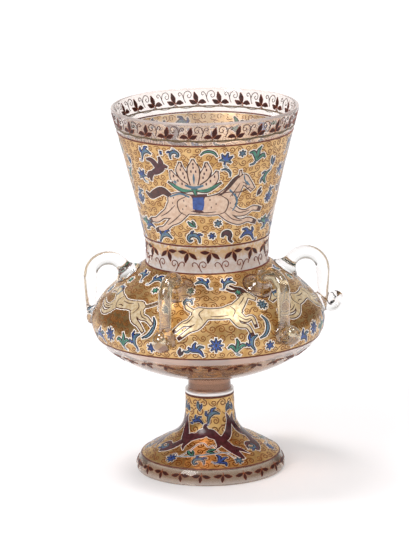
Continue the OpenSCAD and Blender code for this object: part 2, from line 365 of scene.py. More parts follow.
# The clear ring over the gold: its height, the heights where it swells, and how far it swells and closes
ring_height = 5.0
swell_start, swell_end = 1.4, 1.9
ring_bulge, ring_close = 1.0, 1.0
gild_top_z = foot_z - ring_height
edge_r = foot_r - foot_edge_inset
flare_rise = gild_top_z - foot_edge_height
foot_edge = cubic([(foot_r - rest_round, 0), (foot_r + edge_bulge, rest_round),
                   (foot_r, 0.55 * foot_edge_height), (edge_r, foot_edge_height)], OUTLINE_STEPS // 2)
foot_flare = cubic([(edge_r, foot_edge_height),
                    (stem_r + 0.26 * (edge_r - stem_r), foot_edge_height + 0.38 * flare_rise),
                    (stem_r, foot_edge_height + 0.22 * flare_rise),
                    (stem_r, gild_top_z - stem_straight)], OUTLINE_STEPS)
clear_ring = cubic([(stem_r, gild_top_z + swell_start), (stem_r + ring_bulge, gild_top_z + swell_end),
                    (stem_r + ring_bulge, foot_z), (stem_r - ring_close, foot_z)], 12)
foot_skin = Skin(np.vstack([foot_edge, foot_flare[1:], clear_ring]))
print("outline length, mm:", round(foot_skin.s[-1], 1))

# %% [markdown]
# ## Clear glass
# Soda glass from a pot is nearly colourless with a faint warm cast. Its surface was never ground: it froze
# as it left the tools, so it is very smooth but slightly wavy, and that waver bends every reflection a
# little. Seeds and old wear give a haze to the lip, the rim band, the collar, the belly and the foot. Thick
# glass looks warmer, so colour also follows the height. On the underside that colour is partly a painted
# reflection of the gold, and on the collar and the foot's edge it is painted light, as is the darker tint
# of the front and back handles. Each glass here is one shader with its own tint, waver and haze.

# %% Clear glass
def clear_glass(name, tint, waver, haze=0.0, shade=None):
    """Glass with a waver of a length and a depth in millimetres. The shade colours light that passes it."""
    material, tree, glass = new_material(name)
    glass.inputs["Base Color"].default_value = linear(tint)
    glass.inputs["Transmission Weight"].default_value = 1 - haze
    glass.inputs["Roughness"].default_value = 0.02
    glass.inputs["IOR"].default_value = 1.48
    length, depth = waver
    where = add_node(tree, "ShaderNodeTexCoord").outputs["Object"]
    waves = add_node(tree, "ShaderNodeTexNoise", {"Vector": where, "Scale": 1 / (length * MM),
                                                  "Detail": 1.5, "Roughness": 0.4})
    bump = add_node(tree, "ShaderNodeBump", {"Height": waves.outputs[0], "Distance": depth * MM,
                                             "Strength": 1.0})
    tree.links.new(bump.outputs[0], glass.inputs["Normal"])
    # Cycles finds lamps through bent glass only by luck, so rays from lamps pass straight through it.
    path = add_node(tree, "ShaderNodeLightPath")
    open_way = add_node(tree, "ShaderNodeBsdfTransparent", {"Color": linear(shade or tint)})
    shown = add_node(tree, "ShaderNodeMixShader", {0: path.outputs["Is Shadow Ray"], 1: glass.outputs[0],
                                                   2: open_way.outputs[0]})
    tree.links.new(shown.outputs[0], tree.nodes["Material Output"].inputs["Surface"])
    print("glass:", name)
    return material


CORD_MM = 3.5


def tint_by_height(material, low_z, high_z, stops, shift_mm=0.0):
    """Colours glass by its height in millimetres. Cords of uneven melt shift the height."""
    tree = material.node_tree
    where = add_node(tree, "ShaderNodeTexCoord").outputs["Object"]
    axes = add_node(tree, "ShaderNodeSeparateXYZ", {0: where})
    cords = add_node(tree, "ShaderNodeTexNoise", {"Vector": where, "Scale": 1 / (CORD_MM * MM),
                                                  "Detail": 4.0, "Roughness": 0.65})
    shift = add_node(tree, "ShaderNodeMath", {0: cords.outputs[0], 1: shift_mm * MM}, operation="MULTIPLY")
    shifted = add_node(tree, "ShaderNodeMath", {0: axes.outputs["Z"], 1: shift.outputs[0]})
    height = add_node(tree, "ShaderNodeMapRange",
                      {"Value": shifted.outputs[0], "From Min": (low_z + shift_mm / 2) * MM,
                       "From Max": (high_z + shift_mm / 2) * MM})
    depth = add_node(tree, "ShaderNodeValToRGB", {"Fac": height.outputs["Result"]})
    set_ramp(depth, stops)
    tree.links.new(depth.outputs["Color"], tree.nodes["Principled BSDF"].inputs["Base Color"])


# %% Glass of the vessel
BLOWN_WAVER, RIM_WAVER = (30.0, 0.25), (30.0, 0.2)
# Warmer towards the bottom: partly the thicker glass, partly a painted reflection of the gold.
UNDERSIDE_TINT_AND_PAINTED_GOLD = [(0.0, "#C48C64"), (0.4, "#DDB597"), (0.75, "#EFD8BE"), (1.0, "#FCF2EB")]
# Painted light: the collar's colours by height show the gold seen through the glass high up, a painted
# highlight at the very top and pale lit glass below, broken up into mottles.
COLLAR_PAINTED_LIGHT = [(0.0, "#FFFCFA"), (0.25, "#F5E0D2"), (0.45, "#FFFCFA"), (0.6, "#EFD2B2"), (0.8, "#EBC484"),
                (1.0, "#FFF4EE")]

vessel_glass = clear_glass("blown_soda_glass", "#FCF2EB", BLOWN_WAVER, haze=0.15)
# The thick underside works as a lens and scatters the light, so little of it goes straight on to the floor.
base_glass = clear_glass("base_soda_glass", "#FCF2EB", BLOWN_WAVER, haze=0.15, shade="#8C8480")
for glass in (vessel_glass, base_glass):
    tint_by_height(glass, 78, 122, UNDERSIDE_TINT_AND_PAINTED_GOLD)
collar_glass = clear_glass("collar_soda_glass", "#FFF6F0", BLOWN_WAVER, haze=0.51)
tint_by_height(collar_glass, 173, 196, COLLAR_PAINTED_LIGHT, shift_mm=18)
rim_glass = clear_glass("rim_soda_glass", "#FEFCFA", BLOWN_WAVER)
lip_glass = clear_glass("lip_soda_glass", "#FFF3EE", RIM_WAVER, haze=0.34)
band_glass = clear_glass("rim_band_soda_glass", "#FFF6F0", RIM_WAVER, haze=0.17)

# %% Glass of the handles, the wafer and the foot
TRAILED_WAVER, WAFER_WAVER, FOOT_WAVER = (14.0, 0.25), (12.0, 0.2), (25.0, 0.2)
# Painted light: the foot's edge is paler at the bottom, darker in the middle, where it paints the gold seen
# through it, and has a painted highlight near the top.
FOOT_EDGE_PAINTED_LIGHT = [(0.0, "#FFFAF6"), (0.16, "#EFE2D8"), (0.34, "#C9AE96"), (0.66, "#CDB49C"), (0.86, "#F6ECE0"),
              (1.0, "#DDC4AC")]

side_glass = clear_glass("clear_trailed_glass", "#FBFAF9", TRAILED_WAVER)
# Painted shade: the front and back handles' glass is tinted darker and more golden than the side handles',
# for the gold that shows through them.
handle_glass = clear_glass("trailed_soda_glass", "#D6C6A6", TRAILED_WAVER, haze=0.04)
# The front and back handles lie before the gold and show by their gloss alone. A coat makes it stronger.
gloss = handle_glass.node_tree.nodes["Principled BSDF"].inputs
gloss["Coat Weight"].default_value = 1.0
gloss["Coat IOR"].default_value = 1.9
wafer_glass = clear_glass("thick_soda_glass", "#B98A6C", WAFER_WAVER, haze=0.4)
foot_glass = clear_glass("foot_soda_glass", "#DDC4AC", FOOT_WAVER, haze=0.15)
tint_by_height(foot_glass, 0, 14, FOOT_EDGE_PAINTED_LIGHT, shift_mm=3)
# The seam is full of bubbles, and their skins throw the light back as mirrors do.
seam_glass, _, bubbles = new_material("bubbly_seam_glass")
bubbles.inputs["Base Color"].default_value = linear("#FFFDFC")
bubbles.inputs["Metallic"].default_value = 0.45
bubbles.inputs["Roughness"].default_value = 0.12

# %% [markdown]
# ## Turned pieces
# A turned piece is modelled as on the pipe: its outline is drawn once as a row of points and spun round the
# axis. The points on the axis meet in one place, so doubles are merged before the faces are turned
# outwards.

# %% Turned pieces
SPIN_STEPS = 160
MERGE_REACH = 0.002
CREASE = math.radians(35)


def new_piece(name, data):
    """Links a new object and makes it the only selected one."""
    piece = bpy.data.objects.new(name, data)
    bpy.context.scene.collection.objects.link(piece)
    bpy.ops.object.select_all(action="DESELECT")
    piece.select_set(True)
    bpy.context.view_layer.objects.active = piece
    return piece


def spin_outline(name, outline):
    mesh = bpy.data.meshes.new(name)
    mesh.from_pydata([(r * MM, 0, z * MM) for r, z in outline],
                     [(i, i + 1) for i in range(len(outline) - 1)], [])
    piece = new_piece(name, mesh)
    bpy.ops.object.mode_set(mode="EDIT")
    bpy.ops.mesh.select_all(action="SELECT")
    bpy.ops.mesh.spin(steps=SPIN_STEPS, angle=math.tau, center=(0, 0, 0), axis=(0, 0, 1))
    bpy.ops.mesh.select_all(action="SELECT")
    bpy.ops.mesh.remove_doubles(threshold=MERGE_REACH * MM)
    bpy.ops.mesh.normals_make_consistent(inside=False)
    bpy.ops.object.mode_set(mode="OBJECT")
    bpy.ops.object.shade_smooth_by_angle(angle=CREASE)
    return piece


def hand_in(piece, material, slot, *nodes):
    piece.data.materials.clear()
    piece.data.materials.append(material)
    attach(piece, "root")
    if nodes:
        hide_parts(*nodes)
    print(piece.name, len(piece.data.polygons), "faces")


# %% [markdown]
# ## Vessel, wafer and foot
# The wall of the vessel thins from the underside to the rim, because the glass stretches most where the
# bubble was opened. The rim was melted round in the fire. Bands of the vessel differ in haze, so its faces
# are given their glass by height. The foot is a second, smaller bubble, opened to a trumpet.

# %% Vessel
outer = np.vstack([bowl_skin.points, neck_skin.points[1:]])
vessel_outer = Skin(outer)
walls = base_wall + (rim_wall - base_wall) * np.linspace(0, 1, len(outer))
inner = vessel_outer.lifted(-walls)
lip_centre = (outer[-1] + inner[-1]) / 2
spoke = outer[-1] - lip_centre
lip = [(lip_centre[0] + spoke[0] * math.cos(a) - spoke[1] * math.sin(a),
        lip_centre[1] + spoke[0] * math.sin(a) + spoke[1] * math.cos(a))
       for a in np.linspace(0, math.pi, 9)[1:-1]]
underside = [(0, bowl_z), (bowl_seat_r / 2, bowl_z)]
vessel = spin_outline("vessel_glass", np.vstack([underside, outer, lip, inner[::-1], [(0, inner[0][1])]]))
hand_in(vessel, vessel_glass, "vessel", "vessel")

# %% Bands of the vessel
CLEAR_RIM_Z, LIP_Z, LIP_SLOPE = 280.4, 297.0, 0.6
belly_line_z = box_mm("belly_fillet")[0][2]
belly_low_z, belly_high_z = belly_line_z - 5.5, belly_line_z + 0.5
collar_low_z, collar_high_z = neck_z + 0.5, neck_z + 22.4
other_glass = {"collar": collar_glass, "rim": rim_glass, "lip": lip_glass, "band": band_glass,
               "base": base_glass}
glass_index = {}
for place, glass in other_glass.items():
    vessel.data.materials.append(glass)
    glass_index[place] = len(vessel.data.materials) - 1

for face in vessel.data.polygons:
    z = face.center.z / MM
    outward = face.normal.xy.dot(face.center.xy) > 0
    on_lip = z > LIP_Z and (outward or face.normal.z > LIP_SLOPE)
    if on_lip or belly_low_z < z < belly_high_z and outward:
        face.material_index = glass_index["lip"]
    elif z > CLEAR_RIM_Z:
        face.material_index = glass_index["band" if outward else "rim"]
    elif collar_low_z < z < collar_high_z and outward:
        face.material_index = glass_index["collar"]
    elif z < belly_high_z:
        face.material_index = glass_index["base"]
print("pale band of the belly, mm:", round(belly_low_z, 1), "to", round(belly_high_z, 1))

# %% Wafer and foot
JOINT_GAP = 0.03
wafer_r = box_mm("stem_wafer")[1][0]
wafer_waist = 0.5
wafer_low, wafer_high = foot_z + JOINT_GAP, bowl_z - JOINT_GAP
waist = [(wafer_r - wafer_waist * math.sin(math.pi * t), wafer_low + (wafer_high - wafer_low) * t)
         for t in np.linspace(0, 1, 13)]
wafer = spin_outline("wafer_glass", np.vstack([[(0, wafer_low)], waist, [(0, wafer_high)]]))
hand_in(wafer, wafer_glass, "stem_wafer", "stem_wafer")

hollow_r = stem_r - foot_wall
dome_z = foot_z - foot_crown - hollow_r
under = Skin(foot_flare).lifted(-foot_wall)
under = under[under[:, 1] < dome_z]
dome = [(hollow_r * math.cos(a), dome_z + hollow_r * math.sin(a)) for a in np.linspace(0, math.pi / 2, 10)]
ring_inner = (foot_r - rest_round - rest_w, 0)
foot = spin_outline("foot_glass", np.vstack([[ring_inner], foot_skin.points, [(0, foot_z)], dome[::-1],
                                             under[::-1], [ring_inner]]))
hand_in(foot, foot_glass, "foot", "foot")
foot.data.materials.append(seam_glass)
seam_low_z = gild_top_z + 0.6
for face in foot.data.polygons:
    if face.center.z > seam_low_z * MM:
        face.material_index = 1

# %% [markdown]
# ## Handles
# A handle starts as a gob dropped on the shoulder. The gaffer draws it up and over into an arch, lets it
# hang straight down, presses it on the widest part of the bowl and curls the tail with pincers. Here the
# rod is a curve with a radius at every point, and the gob and the pressed seat are turned lumps. A voxel
# remesh melts them into one body, smoothing rounds the joins as heat does, and the underside is pressed
# onto the bowl.

# %% Handles
GOB_DROP, GOB_R, GOB_HEIGHT = 10.5, 12.0, 8.0
ROD_R, TAIL_R, TIP_R = 5.5, 3.7, 2.4
STRAP_REACH, SEAT_R, SEAT_HEIGHT, SEAT_RISE = 0.8, 8.5, 4.5, 4.5
CURL_R, EYE_R, TIP_TURN_R, TIP_ASIDE = 6.6, 4.2, 2.9, 3.0
TAIL_ABOVE_SEAT, THINNING, EYE_TURN = 2.0, 1.3, 1.3 * math.pi
# Where the rod leaves the gob: height over the skin and radius
ROOT_FLARE = ((2.0, 7.6), (5.0, 6.4))
# A tail that is pressed flat: how far in, how far down, radius
FLAT_TAIL = ((0.6, 3.0, TAIL_R), (1.6, 6.0, TIP_R))
# How wide the pincers spread the tail, how high over its turn that starts, and over what height it grows
TAIL_SPREAD, SPREAD_ABOVE, SPREAD_OVER = 1.7, 12.0, 14.0
# A handle is fused on, so its underside lies within the thickness of the gold. Under two of the gobs a
# little air was caught, and there the glass looks white instead of golden.
PRESS_GAP, AIR_GAP, AIR_LOW_Z = 0.04, 0.2, 150.0
CAUGHT_AIR = ("handle_left", "handle_right")
LUMP_ROOT, VOXEL, SKIN_SAMPLES = 3.0, 0.6, 1200


def on_skin(skin, z):
    at, out = skin.look_up(skin.along(z))
    return at, out / np.linalg.norm(out)


gob_at, gob_out = on_skin(bowl_skin, neck_z - GOB_DROP)
strap_r = bowl_r + STRAP_REACH
arch_start = gob_at + GOB_HEIGHT * gob_out
arch_r = (strap_r - arch_start[0]) / (1 + gob_out[1])
arch_centre = arch_start + arch_r * np.array([gob_out[1], -gob_out[0]])


def arc_points(centre, r, start, end, steps):
    angles = np.linspace(start, end, steps)
    return [(centre[0] + r * math.cos(a), centre[1] + r * math.sin(a)) for a in angles]


def rod_line(curled, tail_z):
    """Points of the rod's middle, each with its radius. They have y = 0, until the curl turns aside."""
    arch = arc_points(arch_centre, arch_r, math.atan2(*(arch_start - arch_centre)[::-1]), 0, 18)
    line = [(*(gob_at + rise * gob_out), 0, r) for rise, r in ROOT_FLARE]
    line += [(x, z, 0, ROD_R) for x, z in arch]
    strap_top = arch_centre[1]
    for t in np.linspace(0, 1, 9)[1:]:
        r = ROD_R + (TAIL_R - ROD_R) * t ** THINNING
        line.append((strap_r, strap_top + (tail_z - strap_top) * t, 0, r))
    if curled:
        curl = arc_points((strap_r + CURL_R, tail_z), CURL_R, math.pi, 2 * math.pi, 16)[1:]
        line += [(x, z, 0, TAIL_R) for x, z in curl]
        for t in np.linspace(0, 1, 16)[1:]:
            r, turn = EYE_R + (TIP_TURN_R - EYE_R) * t, EYE_TURN * t
            line.append((strap_r + 2 * CURL_R - EYE_R + r * math.cos(turn), tail_z + r * math.sin(turn),
                         -TIP_ASIDE * t, TAIL_R + (TIP_R - TAIL_R) * t))
    else:
        line += [(strap_r - inward, tail_z - down, 0, r) for inward, down, r in FLAT_TAIL]
    return line


print("arch radius, mm:", round(arch_r, 1))


# %% Rod, lumps and seat
def rod_piece(line, tail_z):
    data = bpy.data.curves.new("rod", "CURVE")
    data.dimensions = "3D"
    data.bevel_depth = MM
    data.bevel_resolution = 8
    data.use_fill_caps = True
    spline = data.splines.new("POLY")
    spline.points.add(len(line) - 1)
    for point, (x, z, y, r) in zip(spline.points, line):
        point.co = (x * MM, y * MM, z * MM, 1)
        point.radius = r
    new_piece("rod", data)
    bpy.ops.object.convert(target="MESH")
    rod = bpy.context.object
    # Pincers flatten the tail as they curl it, so it spreads sideways towards its end.
    for v in rod.data.vertices:
        share = min(1.0, max(0.0, (tail_z + SPREAD_ABOVE - v.co.z / MM) / SPREAD_OVER))
        v.co.y *= 1 + (TAIL_SPREAD - 1) * share
    return rod


def turned_lump(at, out, side, height):
    """A lump on the skin, turned from a side outline and tilted to the skin's own direction."""
    root = [(0, -LUMP_ROOT), (side[0][0], -LUMP_ROOT)]
    lump = spin_outline("lump", np.vstack([root, side, [(0, height)]]))
    tilt = Matrix.Rotation(math.atan2(out[0], out[1]), 4, "Y")
    lump.data.transform(Matrix.Translation((at[0] * MM, 0, at[1] * MM)) @ tilt)
    return lump


gob_side = cubic([(GOB_R, 0), (0.86 * GOB_R, 0.34 * GOB_HEIGHT), (1.2 * ROD_R, 0.5 * GOB_HEIGHT),
                  (ROD_R, GOB_HEIGHT)], 10)
seat_side = cubic([(SEAT_R, 0.12 * SEAT_HEIGHT), (SEAT_R, 0.6 * SEAT_HEIGHT),
                   (0.66 * SEAT_R, 0.7 * SEAT_HEIGHT), (0.55 * SEAT_R, SEAT_HEIGHT)], 10)


def press_onto(piece, skin, gob_gap):
    """Moves every point that lies inside the skin, or closer than the gap, out to the gap."""
    co = np.empty(len(piece.data.vertices) * 3)
    piece.data.vertices.foreach_get("co", co)
    co = co.reshape(-1, 3)
    rz = np.stack([np.hypot(co[:, 0], co[:, 1]), co[:, 2]], axis=1) / MM
    line, outs = skin.look_up(np.linspace(skin.s[0], skin.s[-1], SKIN_SAMPLES))
    nearest = np.array([np.argmin(((line - p) ** 2).sum(1)) for p in rz])
    depth = ((rz - line[nearest]) * outs[nearest]).sum(1)
    gap = np.where(rz[:, 1] > AIR_LOW_Z, gob_gap, PRESS_GAP)
    sunk = depth < gap
    flat = line[nearest] + outs[nearest] * gap[:, None]
    angle = np.arctan2(co[:, 1], co[:, 0])
    pressed = np.stack([flat[:, 0] * np.cos(angle), flat[:, 0] * np.sin(angle), flat[:, 1]], axis=1) * MM
    co[sunk] = pressed[sunk]
    piece.data.vertices.foreach_set("co", co.ravel())
    piece.data.update()


# %% Six handles
HEAT_ROUNDS = 14


def trail_handle(name, phi, curled, lift, gob_gap):
    seat_z = widest_z + SEAT_RISE + lift
    tail_z = seat_z + TAIL_ABOVE_SEAT
    seat_at, seat_out = on_skin(bowl_skin, seat_z)
    rod = rod_piece(rod_line(curled, tail_z), tail_z)
    gob = turned_lump(gob_at, gob_out, gob_side, GOB_HEIGHT)
    seat = turned_lump(seat_at, seat_out, seat_side, SEAT_HEIGHT)
    bpy.ops.object.select_all(action="DESELECT")
    for part in (rod, gob, seat):
        part.select_set(True)
    bpy.context.view_layer.objects.active = rod
    bpy.ops.object.join()
    handle = bpy.context.object
    handle.name = handle.data.name = name
    melt = handle.modifiers.new("melt", "REMESH")
    melt.mode = "VOXEL"
    melt.voxel_size = VOXEL * MM
    melt.use_smooth_shade = True
    bpy.ops.object.modifier_apply(modifier="melt")
    heat = handle.modifiers.new("heat", "SMOOTH")
    heat.factor, heat.iterations = 0.5, HEAT_ROUNDS
    bpy.ops.object.modifier_apply(modifier="heat")
    press_onto(handle, bowl_skin, gob_gap)
    handle.data.transform(Matrix.Rotation(phi, 4, "Z"))
    return handle


handle_nodes = ["handle_right", "handle_back_right", "handle_back_left",
                "handle_left", "handle_front_left", "handle_front_right"]
PRESSED_TAIL = "handle_left"
SEAT_LIFT = {"handle_right": 4.0}
mounts = {mount["name"]: mount["pos_m"] for mount in frame["record"]["mounts"]}
handle_angles = []
for node_name in handle_nodes:
    x, y, _ = mounts[node_name.replace("handle", "loop")]
    handle_angles.append(math.atan2(y, x))
    airy = node_name in CAUGHT_AIR
    handle = trail_handle(node_name.replace("handle", "trail"), handle_angles[-1],
                          node_name != PRESSED_TAIL, SEAT_LIFT.get(node_name, 0.0),
                          AIR_GAP if airy else PRESS_GAP)
    hand_in(handle, side_glass if airy else handle_glass, "handle_glass", node_name)

# %% [markdown]
# ## Fired gold
# The gilder lays a wash of gold on the glass and the kiln fires it on, a layer far thinner than paper that
# is then rubbed with a stone. It has the colour of metal but keeps the grain of the brush and the stone, so
# its sheen is soft and uneven. Each sheet is a thin ring on the skin, drawn here 0.15 mm thick.

# %% Fired gold
def mottle(tree, shader, size_mm, detail, stops, roughness=0.5):
    """Colours a shader in clouds of a real size. Gives back the coordinates and the clouds."""
    where = add_node(tree, "ShaderNodeTexCoord").outputs["Object"]
    cloud = add_node(tree, "ShaderNodeTexNoise", {"Vector": where, "Scale": 1 / (size_mm * MM),
                                                  "Detail": detail, "Roughness": roughness})
    tone = add_node(tree, "ShaderNodeValToRGB", {"Fac": cloud.outputs["Fac"]})
    set_ramp(tone, stops)
    tree.links.new(tone.outputs["Color"], shader.inputs["Base Color"])
    return where, cloud.outputs["Fac"]


WASH_MM, GRAIN_MM, GRAIN_DEPTH = 9.0, 1.2, 0.03
# How much smoother and rougher than the mean the stone leaves the gold
RUBBED, UNRUBBED = -0.08, 0.10


def fired_gold(name, light, deep, roughness):
    material, tree, gold = new_material(name)
    where, _ = mottle(tree, gold, WASH_MM, 5.0, [(0.34, deep), (0.62, light)], 0.6)
    grain = add_node(tree, "ShaderNodeTexNoise", {"Vector": where, "Scale": 1 / (GRAIN_MM * MM),
                                                  "Detail": 3.0})
    rub = add_node(tree, "ShaderNodeMapRange", {"Value": grain.outputs["Fac"], "To Min": roughness + RUBBED,
                                                "To Max": roughness + UNRUBBED})
    tree.links.new(rub.outputs["Result"], gold.inputs["Roughness"])
    bump = add_node(tree, "ShaderNodeBump", {"Height": grain.outputs["Fac"], "Distance": GRAIN_DEPTH * MM})
    tree.links.new(bump.outputs["Normal"], gold.inputs["Normal"])
    gold.inputs["Metallic"].default_value = 1.0
    return material


def gold_under_glass():
    """The side of the gold on the glass mirrors smoothly. Its paler colour is painted light for the lamp's
    inside.
    """
    material, tree, gold = new_material("fired_gold_under_glass")
    # Painted light: paler than the outer gold, so that the inside of the lamp looks lit.
    mottle(tree, gold, 7, 4.0, [(0.36, "#E0BF88"), (0.64, "#F1DDBA")])
    gold.inputs["Metallic"].default_value = 1.0
    gold.inputs["Roughness"].default_value = 0.3
    return material


gold_back_painted_light = gold_under_glass()
pale_gold = fired_gold("fired_gold_wash", "#D9B681", "#BA9159", 0.36)
deep_gold = fired_gold("fired_gold_thick", "#DEB87A", "#BE9355", 0.38)
print("gold:", [gold.name for gold in (gold_back_painted_light, pale_gold, deep_gold)])

# %% [markdown]
# ## Gilded and painted bands
# Gold and enamel lie on one another in layers, and every layer follows the skin of the glass. So the skin
# is divided in bands. Each band knows its skin and its lower and upper end, and collects the strokes
# painted on it.

# %% Gilded and painted bands
# Heights of the layers over the glass in millimetres. Each later layer also sinks a little deeper into the
# glass, as fired enamel does, so that someone who looks in through the mouth sees them in the same order.
LAYERS = {"gold": (-0.05, 0.10), "scroll": (-0.06, 0.15), "white": (-0.07, 0.19), "outline": (-0.08, 0.23),
          "fill": (-0.09, 0.27), "detail": (-0.10, 0.37), "dot": (-0.11, 0.45)}
GILDING_MARGIN = 0.3


class Zone:
    """A band of the lamp's skin that is painted, and the pots of enamel used on it."""

    def __init__(self, name, skin, low_z, high_z, margin=0.0):
        self.name, self.skin = name, skin
        self.low, self.high = skin.along(low_z) + margin, skin.along(high_z) - margin
        self.pots = {}


def gilded_zone(name, skin, node, gold):
    (_, _, low_z), (_, _, high_z) = box_mm(node)
    zone = Zone(name, skin, low_z, high_z, GILDING_MARGIN)
    inside = [s for s in skin.s if zone.low < s < zone.high]
    at, out = skin.look_up(np.array([zone.low, *inside, zone.high]))
    bottom, top = LAYERS["gold"]
    ring = np.vstack([at + out * bottom, (at + out * top)[::-1], at[:1] + out[:1] * bottom])
    sheet = spin_outline(name + "_gold", ring)
    hand_in(sheet, gold, "gilding", node)
    sheet.data.materials.append(gold_back_painted_light)
    for face in sheet.data.polygons:
        if face.normal.xy.dot(face.center.xy) < 0:
            face.material_index = 1
    return zone


neck_zone = gilded_zone("neck", neck_skin, "neck_gilding", pale_gold)
shoulder_zone = gilded_zone("shoulder", bowl_skin, "shoulder_gilding", pale_gold)
foot_zone = gilded_zone("foot", foot_skin, "foot_gilding", deep_gold)
rim_zone = Zone("rim", neck_skin, 281.0, 299.0)
collar_zone = Zone("collar", neck_skin, 174.2, 195.0)
belly_zone = Zone("belly", bowl_skin, 90.0, 112.5)
edge_zone = Zone("edge", foot_skin, 0.8, 12.2)

# %% [markdown]
# ## The enamel brush
# Enamel is coloured glass ground to powder, mixed with oil, drawn with a brush and melted on in the kiln.
# So a line is as wide as the brush was pressed, and it stands a little proud. A stroke here is a short list
# of knots: place round the lamp, place up the skin and width, in millimetres. A spline runs through the
# knots, a ribbon is laid along it on the skin, and the ribbon gets a thickness, so each stroke is a small
# closed solid.

# %% The enamel brush
# Millimetres: longest step along a stroke, widest strip across it, thinnest line, and rise of a wide
# stroke's middle over its edges
LINE_STEP, BRISTLE, THINNEST, CROWN = 1.6, 2.4, 0.15, 0.06


def smooth_line(knots):
    k = np.array(knots, float)
    ends = np.vstack([2 * k[0] - k[1], k, 2 * k[-1] - k[-2]])
    rows = []
    for a, b, c, d in zip(ends, ends[1:], ends[2:], ends[3:]):
        n = max(3, math.ceil(np.linalg.norm((c - b)[:2]) / LINE_STEP))
        t = np.arange(n)[:, None] / n
        rows.append(0.5 * (2 * b + (c - a) * t + (2 * a - 5 * b + 4 * c - d) * t ** 2
                           + (3 * b - a - 3 * c + d) * t ** 3))
    return np.vstack(rows + [k[-1:]])


class Spot:
    """Where a motif is painted: zone, angle, height, turn in degrees, size, and whether it is flipped."""

    def __init__(self, zone, phi, z, turn=0.0, size=1.0, flip=False):
        self.zone, self.phi, self.s = zone, phi, zone.skin.along(z)
        self.turn, self.size, self.flip = math.radians(turn), size, flip

    def wrap(self, line):
        """Lays a flat line on the skin: angle, distance along the outline, width."""
        x, y, width = (np.asarray(line, float) * self.size).T
        if self.flip:
            x = -x
        c, s = math.cos(self.turn), math.sin(self.turn)
        along = np.clip(self.s + s * x + c * y, self.zone.low, self.zone.high)
        return np.stack([self.phi + (c * x - s * y) / self.zone.skin.radius(along), along, width], axis=1)


def lay_ribbon(zone, line, pot, layer, grow=0.0):
    """Adds one stroke to a pot: a ribbon on the skin with a top, an underside and edges."""
    phi, s, width = line.T
    r = zone.skin.radius(s)
    heading = np.stack([np.gradient(phi) * r, np.gradient(s)], axis=1)
    heading /= np.maximum(np.linalg.norm(heading, axis=1), 1e-9)[:, None]
    half = np.maximum(width, THINNEST) / 2 + grow
    reach = np.zeros(len(s))
    reach[0], reach[-1] = -grow, grow
    columns = max(1, math.ceil(2 * half.max() / BRISTLE))
    across = np.linspace(-1, 1, columns + 1)
    side = half[:, None] * across
    grid_phi = (phi + heading[:, 0] * reach / r)[:, None] - heading[:, 1:] * side / r[:, None]
    grid_s = (s + heading[:, 1] * reach)[:, None] + heading[:, :1] * side
    grid_s = np.clip(grid_s, zone.low, zone.high)
    bottom, top = LAYERS[layer]
    crown = CROWN * (1 - across ** 2) if columns > 1 else 0.0
    upper = zone.skin.place(grid_phi, grid_s, top + crown).reshape(-1, 3)
    lower = zone.skin.place(grid_phi, grid_s, bottom).reshape(-1, 3)
    points, faces = zone.pots.setdefault(pot, ([], []))
    first = sum(len(p) for p in points)
    n, m = grid_s.shape
    index = np.arange(n * m).reshape(n, m) + first
    corners = [index[:-1, :-1], index[1:, :-1], index[1:, 1:], index[:-1, 1:]]
    sheet = np.stack(corners, axis=-1).reshape(-1, 4)
    ring = np.concatenate([index[:-1, 0], index[-1, :-1], index[:0:-1, -1], index[0, :0:-1]])
    onward = np.roll(ring, -1)
    edge = np.stack([ring + n * m, onward + n * m, onward, ring], axis=1)
    points += [upper, lower]
    faces += [sheet, (sheet + n * m)[:, ::-1], edge]


def brush(spot, knots, pot, layer, grow=0.0):
    lay_ribbon(spot.zone, spot.wrap(smooth_line(knots)), pot, layer, grow)


# How far the white halo, the outline and the colour itself reach past a stroke
LEAF_EDGE = (1.3, 0.6, -0.45)
FOOT_LEAF_EDGE = (0.9, 0.65, -0.5)
FIGURE_EDGE = (1.5, 0.9, 0.0)


def brush_edged(spot, strokes, edge, line_pot):
    """Paints (pot, knots) strokes with an outline and a white halo round all of them together."""
    halo, outline, inset = edge
    for pot, knots in strokes:
        brush(spot, knots, "white", "white", halo)
        brush(spot, knots, line_pot, "outline", outline)
        brush(spot, knots, pot, "fill", inset)


# %% [markdown]
# ## Enamel colours
# Each pot is a lead glass coloured by a metal: cobalt for the deep blue, copper for the paler blues and the
# green, manganese for the plum, iron for the browns, tin for the white. Fired enamel is glossy and a little
# uneven in depth, because the powder lies thicker in some places than in others.

# %% Enamel colours
POWDER_MM, POWDER_DEPTH = 3.0, 0.05


def enamel(name, light, deep, roughness=0.22, shine=0.5, metal=0.0):
    material, tree, glaze = new_material(name)
    _, cloud = mottle(tree, glaze, POWDER_MM, 3.0, [(0.36, deep), (0.64, light)])
    bump = add_node(tree, "ShaderNodeBump", {"Height": cloud, "Distance": POWDER_DEPTH * MM})
    tree.links.new(bump.outputs["Normal"], glaze.inputs["Normal"])
    glaze.inputs["Roughness"].default_value = roughness
    glaze.inputs["IOR"].default_value = 1.55
    glaze.inputs["Specular IOR Level"].default_value = shine
    # A thin wash lets the gold under it shine through.
    glaze.inputs["Metallic"].default_value = metal
    return material


